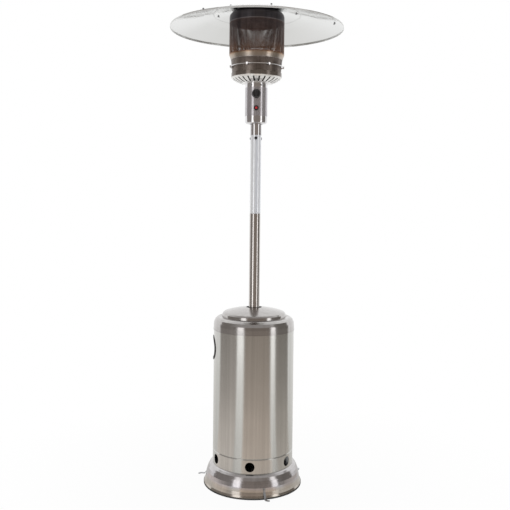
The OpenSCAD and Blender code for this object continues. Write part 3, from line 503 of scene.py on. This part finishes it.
PANEL = Sheet("bare_panel_film", (0.62, 0.6, 0.62), (0.48, 0.46, 0.48), 0.2, Grain.UP,
              grain_depth=0.000002, cloud_scale=12.0, metallic=0.75)
BLACK = Moulding("black_moulding", (0.03, 0.03, 0.032), (0.016, 0.016, 0.017), 0.3)
RED = Moulding("red_button", (0.7, 0.02, 0.03), (0.6, 0.015, 0.022), 0.25, coat=0.4)
CERAMIC = Moulding("glazed_ceramic", (0.84, 0.82, 0.77), (0.78, 0.75, 0.69), 0.2, coat=0.5)
RUBBER = Moulding("soft_black_trim", (0.05, 0.048, 0.046), (0.03, 0.028, 0.027), 0.55,
                  skin_scale=500.0)


class Body(Enum):
    """The bodies of the CAD model that pieces made here ride on."""

    STAND = "stand"
    HOUSING = "bottle_housing"
    KNOB = "gas_knob"
    BUTTON = "igniter_button"


def cad_mesh(name: str) -> bpy.types.Mesh:
    """Returns the mesh of a CAD node."""
    return frame["nodes"][name].data


def off_axis(corner: bpy.types.MeshVertex) -> float:
    """Returns how far a corner lies from the Z axis."""
    return math.hypot(corner.co.x, corner.co.y)


def into_scene(name: str, mesh: bmesh.types.BMesh) -> bpy.types.Object:
    """Turns a bmesh into an object at the origin, and frees it.

    Args:
        name: The name of the object and of its mesh.
        mesh: The shape.

    Returns:
        The object, which is in the scene.
    """
    data = bpy.data.meshes.new(name)
    mesh.to_mesh(data)
    mesh.free()
    made = bpy.data.objects.new(name, data)
    bpy.context.scene.collection.objects.link(made)
    return made


def turned(profile: Outline, steps: int) -> bmesh.types.BMesh:
    """Spins a profile of radius and height round Z into a closed shape.

    Args:
        profile: Points of radius and height, in order from the lower end.
        steps: Number of sides.

    Returns:
        The turned shape, with its normals outwards.
    """
    mesh = bmesh.new()
    corners = [mesh.verts.new((radius, 0.0, height)) for radius, height in profile]
    edges = [mesh.edges.new(pair) for pair in zip(corners, corners[1:])]
    bmesh.ops.spin(mesh, geom=corners + edges, cent=(0, 0, 0), axis=(0, 0, 1),
                   angle=math.tau, steps=steps, use_merge=True)
    bmesh.ops.remove_doubles(mesh, verts=mesh.verts, dist=WELD)
    bmesh.ops.recalc_face_normals(mesh, faces=mesh.faces)
    return mesh


def walled(outside: Outline, wall: float) -> Outline:
    """Closes an outline into that of a thin wall.

    Args:
        outside: Points of radius and height along the outer face, from its lower end.
        wall: How thick the wall is, along the radius.

    Returns:
        The closed outline.
    """
    inside = [(radius - wall, height) for radius, height in reversed(outside)]
    return outside + inside + outside[:1]


def block(size: Vector, middle: Vector, rounding: float, segments: int) -> bmesh.types.BMesh:
    """Makes a block with rounded edges.

    Args:
        size: Its measures along X, Y and Z.
        middle: Where its middle lies.
        rounding: How wide the rounded edges are.
        segments: How many faces round an edge.

    Returns:
        The block.
    """
    mesh = bmesh.new()
    bmesh.ops.create_cube(mesh, size=1.0)
    shape = Matrix.Translation(middle) @ Matrix.Diagonal((*size, 1.0))
    bmesh.ops.transform(mesh, matrix=shape, verts=mesh.verts)
    bmesh.ops.bevel(mesh, geom=mesh.edges[:], offset=rounding, affect="EDGES",
                    segments=segments, profile=0.5, material=-1)
    return mesh


def face_front(mesh: bmesh.types.BMesh, height: float, back_y: float) -> None:
    """Turns a shape whose axis is Z towards the front, and sets it at its place.

    Args:
        mesh: The shape, standing on the origin.
        height: Height of its axis.
        back_y: Where its foot comes to lie.
    """
    turn = Matrix.Translation((0.0, back_y, height)) @ Matrix.Rotation(math.pi / 2, 4, "X")
    bmesh.ops.transform(mesh, matrix=turn, verts=mesh.verts)


@dataclass
class Assembly:
    """A sub-assembly: its CAD nodes with their finishes, and the pieces made here."""

    title: str
    dressed: dict[str, Finish] = field(default_factory=dict)
    made: list[bpy.types.Object] = field(default_factory=list)

    def build(self) -> None:
        """Makes the pieces that the CAD model doesn't have, or has plainer."""

    def dress(self) -> None:
        """Gives each CAD node its finish."""
        for name, finish in self.dressed.items():
            mesh = cad_mesh(name)
            mesh.materials.clear()
            mesh.materials.append(finish.material())

    def add(self, name: str, mesh: bmesh.types.BMesh, finish: Finish, body: Body, slot: str,
            stands_for: tuple[str, ...] = ()) -> bpy.types.Object:
        """Turns a bmesh into a finished piece that rides on a body.

        Args:
            name: The piece's name.
            mesh: The shape, in its place in the frame.
            finish: What it is dressed in.
            body: What it moves with.
            slot: The record's material slot for it; it is not used.
            stands_for: CAD nodes that it replaces.

        Returns:
            The piece's object.
        """
        piece = into_scene(name, mesh)
        piece.data.shade_smooth()
        piece.data.set_sharp_from_angle(angle=math.radians(SMOOTH_DEGREES))
        piece.data.materials.append(finish.material())
        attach(piece, body.value)
        if stands_for:
            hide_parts(*stands_for)
        self.made.append(piece)
        return piece

    def report(self) -> None:
        """Logs what the assembly consists of."""
        log.info("%s: %d CAD nodes, made %s", self.title, len(self.dressed),
                 [piece.name for piece in self.made])


@dataclass
class Base(Assembly):
    """The flared base with its edge trim and anchor hooks, and the frame inside the housing."""

    title: str = "base"
    shell_wall: float = 0.0005

    def __post_init__(self) -> None:
        """Lists the finishes of the base and frame. The base is painted nearly black inside the
        shell, as the shade there.
        """
        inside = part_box("housing_shell")[1].x - self.shell_wall
        # Painted shade: the base skirt is painted nearly black within the shell, where shade falls.
        self.dressed = {"base_skirt": replace(FLARE, painted_shade_within=inside),
                        "base_edge_trim": RUBBER}
        for name in ("anchor_hooks", "hook_rivets", "support_leg_1", "support_leg_2",
                     "support_leg_3", "leg_foot_bolts", "leg_head_bolts", "post_bracket",
                     "post_flange_bolts"):
            self.dressed[name] = ZINC


@dataclass
class BottleHousing(Assembly):
    """The shell that lifts up the post, with its cap."""

    title: str = "bottle housing"
    seam_width: float = 0.009
    seam_proud: float = 0.0009
    seam_sunk: float = 0.0004
    seam_end: float = 0.001
    seam_rounding: float = 0.3
    seam_edge_faces: int = 2

    def __post_init__(self) -> None:
        """Lists the finishes of the housing."""
        self.dressed = {"housing_shell": BRUSHED, "housing_cap": CAP, "hand_hole_trim": RUBBER}

    def build(self) -> None:
        """Makes the lock seam that joins the shell's sheet at the back."""
        low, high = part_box("housing_shell")
        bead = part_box("housing_cap")[0].z
        foot, head = low.z + self.seam_end, bead - self.seam_end
        size = Vector((self.seam_width, self.seam_proud, head - foot))
        middle = Vector((0.0, high.y + self.seam_proud / 2 - self.seam_sunk, (foot + head) / 2))
        mesh = block(size, middle, self.seam_proud * self.seam_rounding, self.seam_edge_faces)
        self.add("housing_seam", mesh, BRUSHED, Body.HOUSING, "brushed_steel")


@dataclass
class Post(Assembly):
    """The two-piece post with its collar."""

    title: str = "post"

    def __post_init__(self) -> None:
        """Lists the finishes of the post."""
        self.dressed = {"lower_post": POST, "upper_post": FILMED, "post_joint_screw": ZINC,
                        "gas_supply_tube": BRASS, "gas_inlet_fitting": BRASS,
                        "post_collar": POLISHED, "head_screws": BLACK}


@dataclass
class ControlHead(Assembly):
    """The control housing with its valve, knob and igniter.

    The profiles are shares of the radius and depth that the frame gives, from the housing's
    face outwards. The grip's length is a share of the knob's radius, and its height and
    middle are shares of the knob's depth.
    """

    title: str = "controls"
    knob_sides: int = 64
    knob_profile: Shares = ((0.0, 0.0), (0.97, 0.0), (1.0, 0.03), (1.0, 0.16), (0.95, 0.24),
                            (0.86, 0.3), (0.83, 0.5), (0.79, 0.55), (0.0, 0.57))
    grip_width: float = 0.009
    grip_length: float = 1.64
    grip_height: float = 0.5
    grip_middle: float = 0.75
    grip_rounding: float = 0.0024
    grip_edge_faces: int = 3
    button_sides: int = 40
    button_profile: Shares = ((0.0, 0.0), (1.0, 0.0), (1.0, 0.9), (0.94, 0.96), (0.7, 0.985),
                              (0.0, 1.0))

    def __post_init__(self) -> None:
        """Lists the finishes of the controls."""
        self.dressed = {
            "control_housing": POLISHED, "control_housing_base": POLISHED, "control_panel": PANEL,
            "gas_valve": BRASS, "valve_bracket": ZINC, "valve_plug": BRASS, "knob_spindle": ZINC,
            "control_knob": BLACK, "gas_jet": BRASS, "mixing_tube": ZINC, "pilot_tube": BRASS,
            "thermocouple": BRASS, "spark_electrode": CERAMIC, "piezo_igniter": CERAMIC,
            "igniter_ring": BLACK, "igniter_button": RED, "tilt_switch": BLACK}

    def build(self) -> None:
        """Makes the knob and the button."""
        self.make_knob()
        self.make_button()

    def make_knob(self) -> None:
        """Makes a knob with a skirt, a stepped body and a grip across it."""
        low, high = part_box("control_knob")
        radius, depth = high.x, high.y - low.y
        mesh = turned([(radius * out, depth * up) for out, up in self.knob_profile],
                      self.knob_sides)
        size = Vector((self.grip_width, radius * self.grip_length, depth * self.grip_height))
        middle = Vector((0.0, 0.0, depth * self.grip_middle))
        grip = block(size, middle, self.grip_rounding, self.grip_edge_faces)
        spare = bpy.data.meshes.new("grip")
        grip.to_mesh(spare)
        grip.free()
        mesh.from_mesh(spare)
        bpy.data.meshes.remove(spare)
        face_front(mesh, (low.z + high.z) / 2, high.y)
        self.add("knob_body", mesh, BLACK, Body.KNOB, "black_plastic",
                 stands_for=("control_knob",))

    def make_button(self) -> None:
        """Makes the igniter's button with a domed face."""
        low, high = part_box("igniter_button")
        radius, depth = high.x, high.y - low.y
        mesh = turned([(radius * out, depth * up) for out, up in self.button_profile],
                      self.button_sides)
        face_front(mesh, (low.z + high.z) / 2, high.y)
        self.add("igniter_cap", mesh, RED, Body.BUTTON, "red_plastic",
                 stands_for=("igniter_button",))


@dataclass
class Burner(Assembly):
    """The slotted dish, pot and guard ring, with the perforated emitter above them.

    The sheet's tints start above its foot and end past its head, by the two tint offsets.
    """

    title: str = "burner and emitter"
    columns: int = 136
    rows: int = 29
    sheet_height: float = 0.15
    band_height: float = 0.022
    joint_gap: float = 0.0003
    hole_share: float = 0.54
    weld_share: float = 0.01
    wall: float = 0.0008
    pot_inset: float = 0.0005
    edge_rounding: float = 0.0003
    edge_height: float = 0.001
    hem_height: float = 0.004
    hem_proud: float = 0.0004
    hem_corner: float = 0.2
    tint_start: float = 0.019
    tint_end: float = 0.009

    def __post_init__(self) -> None:
        """Finds the heights of sheet and band, and lists the finishes that follow them."""
        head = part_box("emitter_shoulder")[0].z
        self.sheet_foot = head - self.sheet_height
        self.band_foot = self.sheet_foot - self.band_height
        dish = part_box("control_housing")[1].z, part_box("slotted_dish")[1].z
        sheet = self.sheet_foot + self.tint_start, head + self.tint_end
        self.dressed = {
            "burner_head": SHOULDER, "slotted_dish": replace(DISH, bands=dish),
            "dish_bolts": ZINC, "burner_pot": POT, "guard_ring": POLISHED,
            "guard_ring_bolts": POLISHED,
            "emitter_band": replace(TINTED, bands=(self.band_foot, self.sheet_foot)),
            "emitter_screen": replace(SCREEN, bands=sheet), "emitter_shoulder": SHOULDER}

    def build(self) -> None:
        """Makes the pot, the band, the perforated sheet of the emitter and its hems."""
        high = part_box("emitter_screen")[1]
        self.make_pot()
        self.make_band()
        self.make_sheet(high.x, self.sheet_foot, high.z)
        self.make_hems(high.x, self.sheet_foot, high.z)

    def make_pot(self) -> None:
        """Makes the pot, which widens a little more above the guard ring."""
        low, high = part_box("burner_pot")
        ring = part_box("guard_ring")[1].z
        foot = min(off_axis(corner) for corner in cad_mesh("burner_pot").vertices)
        foot += 2.0 * self.wall
        turn = foot + (high.x - foot) * (ring - low.z) / (high.z - low.z)
        top, rim = self.band_foot - self.joint_gap, high.x - self.pot_inset
        outside = [(foot, low.z), (turn, ring), (rim, top - self.edge_height),
                   (rim - self.edge_rounding, top)]
        self.add("pot_wall", turned(walled(outside, self.wall), WALL_SIDES), POT, Body.STAND,
                 "tinted_steel", stands_for=("burner_pot",))

    def make_band(self) -> None:
        """Makes the flared band between the pot and the perforated sheet."""
        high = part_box("emitter_band")[1]
        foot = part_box("burner_pot")[1].x + self.joint_gap
        outside = [(foot - self.edge_rounding, self.band_foot),
                   (foot, self.band_foot + self.edge_height),
                   (high.x, self.sheet_foot - self.joint_gap)]
        self.add("band_wall", turned(walled(outside, self.wall), WALL_SIDES),
                 self.dressed["emitter_band"], Body.STAND, "tinted_steel",
                 stands_for=("emitter_band",))

    def make_sheet(self, radius: float, foot: float, head: float) -> None:
        """Makes the perforated sheet and rolls it into a cylinder.

        Args:
            radius: The cylinder's radius.
            foot: Height of its lower edge.
            head: Height of its upper edge.
        """
        pitch = math.tau * radius / self.columns
        rise = pitch * math.sqrt(3.0) / 2
        mesh = self.flat_sheet(pitch, rise)
        middle = (foot + head - (self.rows - 1) * rise) / 2
        for corner in mesh.verts:
            turn = corner.co.x / radius
            corner.co = Vector((radius * math.sin(turn), -radius * math.cos(turn),
                                corner.co.z + middle))
        bmesh.ops.remove_doubles(mesh, verts=mesh.verts, dist=pitch * self.weld_share)
        mesh.normal_update()
        some = next(iter(mesh.faces))
        out = some.calc_center_median()
        if some.normal.dot(Vector((out.x, out.y, 0.0))) < 0:
            bmesh.ops.reverse_faces(mesh, faces=mesh.faces)
        sheet = self.add("emitter_mesh", mesh, self.dressed["emitter_screen"], Body.STAND,
                         "emitter_steel", stands_for=("emitter_screen",))
        wall = sheet.modifiers.new("wall", "SOLIDIFY")
        wall.thickness = self.wall
        wall.offset = -1.0

    def flat_sheet(self, pitch: float, rise: float) -> bmesh.types.BMesh:
        """Makes a flat sheet of hexagons, each with a hole, in staggered rows.

        Args:
            pitch: From one hole to the next in a row.
            rise: From one row to the next.

        Returns:
            The sheet, upright along X from the origin.
        """
        mesh = bmesh.new()
        bmesh.ops.create_circle(mesh, cap_ends=True, segments=6, radius=pitch / math.sqrt(3.0))
        stand = Matrix.Rotation(math.pi / 2, 4, "X") @ Matrix.Rotation(math.pi / 6, 4, "Z")
        bmesh.ops.transform(mesh, matrix=stand, verts=mesh.verts)
        self.repeat(mesh, self.columns, lambda k: Vector((k * pitch, 0.0, 0.0)))
        self.repeat(mesh, self.rows, lambda k: Vector((k % 2 * pitch / 2, 0.0, k * rise)))
        bmesh.ops.remove_doubles(mesh, verts=mesh.verts, dist=pitch * self.weld_share)
        solid = mesh.faces[:]
        bmesh.ops.inset_individual(mesh, faces=solid, thickness=pitch * (1.0 - self.hole_share) / 2,
                                   use_even_offset=True)
        bmesh.ops.delete(mesh, geom=solid, context="FACES_ONLY")
        return mesh

    @staticmethod
    def repeat(mesh: bmesh.types.BMesh, count: int, step: Callable[[int], Vector]) -> None:
        """Copies all that a mesh holds along a row.

        Args:
            mesh: The mesh.
            count: How many there are in the end, with the first.
            step: Gives the offset of copy number k.
        """
        first = mesh.verts[:] + mesh.edges[:] + mesh.faces[:]
        for k in range(1, count):
            copied = bmesh.ops.duplicate(mesh, geom=first)["geom"]
            corners = [item for item in copied if isinstance(item, bmesh.types.BMVert)]
            bmesh.ops.translate(mesh, verts=corners, vec=step(k))

    def make_hems(self, radius: float, foot: float, head: float) -> None:
        """Makes the plain hems along both edges of the sheet.

        Args:
            radius: The sheet's radius.
            foot: Height of its lower edge.
            head: Height of its upper edge.
        """
        out, inner = radius + self.hem_proud, radius - self.wall - self.hem_proud
        rounded, height = out - self.edge_rounding, self.hem_height
        profile = [(inner, 0.0), (rounded, 0.0), (out, height * self.hem_corner),
                   (out, height * (1.0 - self.hem_corner)), (rounded, height), (inner, height),
                   (inner, 0.0)]
        for name, z, finish, slot in (
                ("emitter_hem_low", foot, SCORCHED, "tinted_steel"),
                ("emitter_hem_high", head - height, HEM, "emitter_steel")):
            mesh = turned(profile, RING_SIDES)
            bmesh.ops.translate(mesh, verts=mesh.verts, vec=Vector((0.0, 0.0, z)))
            self.add(name, mesh, finish, Body.STAND, slot)


@dataclass
class Reflector(Assembly):
    """The wide shallow reflector of a centre disc and three panels."""

    title: str = "reflector"
    bead_width: float = 0.005
    bead_proud: float = 0.0012
    bead_slope: float = 0.7
    bead_sunk: float = 0.0004
    bead_lip: float = 0.0002
    edge_zone: float = 0.0005
    rim_height: float = 0.0053

    def __post_init__(self) -> None:
        """Lists the finishes of the reflector, which is duller at its low rim."""
        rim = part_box("reflector_panel_1")[0].z + self.rim_height
        self.sheet = replace(ALUMINIUM, pale_below=rim)
        self.dressed = {name: self.sheet for name in (
            "reflector_centre", "reflector_panel_1", "reflector_panel_2", "reflector_panel_3")}
        for name in ("reflector_studs", "stud_spacers", "reflector_screws", "stud_nuts"):
            self.dressed[name] = ZINC

    def build(self) -> None:
        """Makes the rolled bead along the edge of the centre disc."""
        corners = cad_mesh("reflector_centre").vertices
        edge = max(off_axis(corner) for corner in corners)
        z = min(corner.co.z for corner in corners if off_axis(corner) > edge - self.edge_zone)
        half, sunk = self.bead_width / 2, z + self.bead_sunk
        slope = z - self.bead_proud * self.bead_slope
        mesh = turned([(edge - half, sunk), (edge - half / 2, slope), (edge, z - self.bead_proud),
                       (edge + half / 2, slope), (edge + half, z - self.bead_lip), (edge, sunk),
                       (edge - half, sunk)], RING_SIDES)
        self.add("centre_bead", mesh, self.sheet, Body.STAND, "reflector_aluminium")


@dataclass
class Softbox:
    """A soft lamp that stands in front of the heater.

    Its turn is in degrees from straight ahead towards the heater's right-hand side.
    """

    turn: float
    width: float
    height: float
    glow: float
    distance: float = 4.2
    middle: float = 1.35
    mirrored: bool = True

    def add(self, name: str) -> None:
        """Adds the lamp.

        Args:
            name: The lamp's name.
        """
        light = bpy.data.lights.new(name, "AREA")
        light.shape = "RECTANGLE"
        light.size, light.size_y = self.width, self.height
        light.energy = self.glow * math.pi * self.width * self.height
        lamp = bpy.data.objects.new(name, light)
        turn = math.radians(self.turn)
        lamp.location = (self.distance * math.sin(turn), -self.distance * math.cos(turn),
                         self.middle)
        away = Vector((lamp.location.x, lamp.location.y, 0.0))
        lamp.rotation_euler = away.to_track_quat("Z", "Y").to_euler()
        lamp.visible_camera = False
        lamp.visible_glossy = self.mirrored
        bpy.context.scene.collection.objects.link(lamp)


@dataclass
class Card:
    """A curved card round the heater that shows only in its reflections.

    It runs between two turns, in degrees from straight ahead towards the right-hand side.
    From the heater outwards it gets dimmer, down to its own tone.
    """

    name: str
    start: float
    end: float
    tone: Colour
    distance: float = 4.7
    reach: float = 0.35
    height: float = 3.4
    lift: float = 0.004
    steps: int = 24
    brighter: Shares = ((0.0, 3.0), (0.14, 2.7), (0.27, 2.2), (0.6, 1.5), (1.0, 1.0))

    def add(self) -> None:
        """Adds the card: a strip along the floor that turns up into a wall."""
        mesh = bmesh.new()
        profile = ((self.reach, self.lift), (self.distance, self.lift),
                   (self.distance, self.height))
        rows = []
        for k in range(self.steps + 1):
            turn = math.radians(self.start + (self.end - self.start) * k / self.steps)
            rows.append([mesh.verts.new((r * math.sin(turn), -r * math.cos(turn), z))
                         for r, z in profile])
        for left, right in zip(rows, rows[1:]):
            for k in range(len(profile) - 1):
                mesh.faces.new((left[k], right[k], right[k + 1], left[k + 1]))
        card = into_scene(self.name, mesh)
        card.visible_camera = card.visible_shadow = card.visible_diffuse = False
        made, shop = blank_material(self.name)
        ahead = shop.spread(shop.length(shop.place()), self.reach, self.distance)
        tones = tuple((place, tuple(part * factor for part in self.tone))
                      for place, factor in self.brighter)
        shop.surface(shop.signal("ShaderNodeEmission", sockets={"Color": shop.ramp(ahead, tones)}))
        card.data.materials.append(made)


@dataclass
class Studio:
    """The camera, a pale floor, soft lamps and a white surround that is dimmer in front.

    The camera looks down by its pitch and is tilted by its roll, both in degrees. The floor
    glows by the shadow_glow shares between the two distances of shadow_reach, and mirrors
    show it in the dusk tones along dusk_reach.
    """

    sensor: float = 36.0
    lens: float = 50.99
    distance: float = 3.341
    eye: float = 1.312
    pitch: float = 1.58
    roll: float = 0.6
    shift: float = -0.07
    floor_radius: float = 30.0
    floor_sides: int = 96
    floor_pale: Colour = (0.86, 0.86, 0.855)
    floor_deep: Colour = (0.84, 0.84, 0.835)
    grit_scale: float = 60.0
    grit_span: Span = (0.3, 0.7)
    shadow_reach: Span = (0.4, 1.4)
    shadow_glow: Span = (0.95, 1.0)
    dusk_reach: Span = (0.2, 6.2)
    dusk: Stops = ((0.0, (0.68, 0.67, 0.65)), (0.2, (0.78, 0.77, 0.755)),
                   (0.48, (0.89, 0.885, 0.88)), (1.0, WHITE))
    front_to_back: Span = (-0.6, 0.4)
    surround: Stops = ((0.0, (0.42, 0.4, 0.39)), (0.4, (0.48, 0.465, 0.455)),
                       (0.75, (0.85, 0.85, 0.85)), (1.0, WHITE))
    lamps: tuple[Softbox, ...] = (
        Softbox(-37.0, 1.3, 3.0, 1.12),
        Softbox(55.0, 1.0, 3.0, 1.12),
        Softbox(12.0, 3.0, 2.4, 0.9, middle=1.9, mirrored=False),
    )
    cards: tuple[Card, ...] = (
        Card("card_front", -26.0, 47.0, (0.25, 0.216, 0.19)),
        Card("card_left", -108.0, -47.5, (0.26, 0.24, 0.225)),
        Card("card_right", 63.0, 112.0, (0.2, 0.185, 0.17)),
    )

    def build(self) -> None:
        """Makes the whole studio."""
        self.make_camera()
        self.make_floor()
        self.make_surround()
        for card in self.cards:
            card.add()
        for number, lamp in enumerate(self.lamps):
            lamp.add(f"softbox_{number + 1}")
        bpy.context.scene.view_settings.view_transform = "Standard"

    def make_camera(self) -> None:
        """Places the camera at the photograph's viewpoint."""
        data = bpy.data.cameras.new("camera")
        data.lens, data.sensor_width, data.shift_y = self.lens, self.sensor, self.shift
        data.dof.use_dof = False
        camera = bpy.data.objects.new("camera", data)
        turn = Matrix.Rotation(math.radians(90.0 - self.pitch), 4, "X")
        turn @= Matrix.Rotation(math.radians(self.roll), 4, "Z")
        camera.matrix_world = Matrix.Translation((0.0, -self.distance, self.eye)) @ turn
        bpy.context.scene.collection.objects.link(camera)
        bpy.context.scene.camera = camera

    def make_floor(self) -> None:
        """Lays a pale floor that shows white and keeps a faint shadow near the base."""
        mesh = bmesh.new()
        bmesh.ops.create_circle(mesh, cap_ends=True, segments=self.floor_sides,
                                radius=self.floor_radius)
        floor = into_scene("floor", mesh)
        made, shop = blank_material("pale_floor")
        spot = shop.place()
        reach = shop.length(spot)
        path = shop.node("ShaderNodeLightPath")
        camera, mirror, clear = (Signal(shop, path.outputs[f"Is {kind} Ray"])
                                 for kind in ("Camera", "Glossy", "Transmission"))
        seen = shop.maths("MAXIMUM", camera, shop.maths("MAXIMUM", mirror, clear))
        grit = shop.spread(shop.noise(spot, self.grit_scale), *self.grit_span)
        paint = shop.signal("ShaderNodeBsdfDiffuse", sockets={
            "Color": shop.mix(grit, rgba(self.floor_pale), rgba(self.floor_deep))})
        dusk = shop.ramp(shop.spread(reach, *self.dusk_reach), self.dusk)
        glow = shop.signal("ShaderNodeEmission", sockets={
            "Color": shop.mix(camera, dusk, rgba(WHITE))})
        far = shop.spread(reach, *self.shadow_reach, *self.shadow_glow)
        shop.surface(shop.signal("ShaderNodeMixShader", sockets={
            0: seen * far, 1: paint, 2: glow}))
        floor.data.materials.append(made)

    def make_surround(self) -> None:
        """Makes the world: white behind the heater, dimmer and warmer in front of it."""
        world = bpy.data.worlds.new("surround")
        bpy.context.scene.world = world
        world.use_nodes = True
        shop = NodeShop(world.node_tree)
        way = shop.signal("ShaderNodeTexCoord", output="Generated")
        around = shop.ramp(shop.spread(shop.axis(way, 1), *self.front_to_back), self.surround)
        camera = shop.signal("ShaderNodeLightPath", output="Is Camera Ray")
        glow = shop.signal("ShaderNodeBackground", sockets={
            "Color": shop.mix(camera, around, rgba(WHITE)), "Strength": 1.0})
        shop.node("ShaderNodeOutputWorld", sockets={"Surface": glow})


def clear_start_up() -> None:
    """Removes what Blender's start-up file leaves in the scene."""
    kept = set(frame["nodes"].values()) | set(frame["bodies"].values())
    for thing in list(bpy.data.objects):
        if thing not in kept and thing.type in ("MESH", "LIGHT", "CAMERA"):
            bpy.data.objects.remove(thing)


def main() -> None:
    """Builds the studio and each sub-assembly."""
    logging.basicConfig(level=logging.INFO, format="%(message)s")
    clear_start_up()
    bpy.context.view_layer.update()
    Studio().build()
    for assembly in (Base(), BottleHousing(), Post(), ControlHead(), Burner(), Reflector()):
        assembly.build()
        assembly.dress()
        assembly.report()


if __name__ == "__main__":
    main()
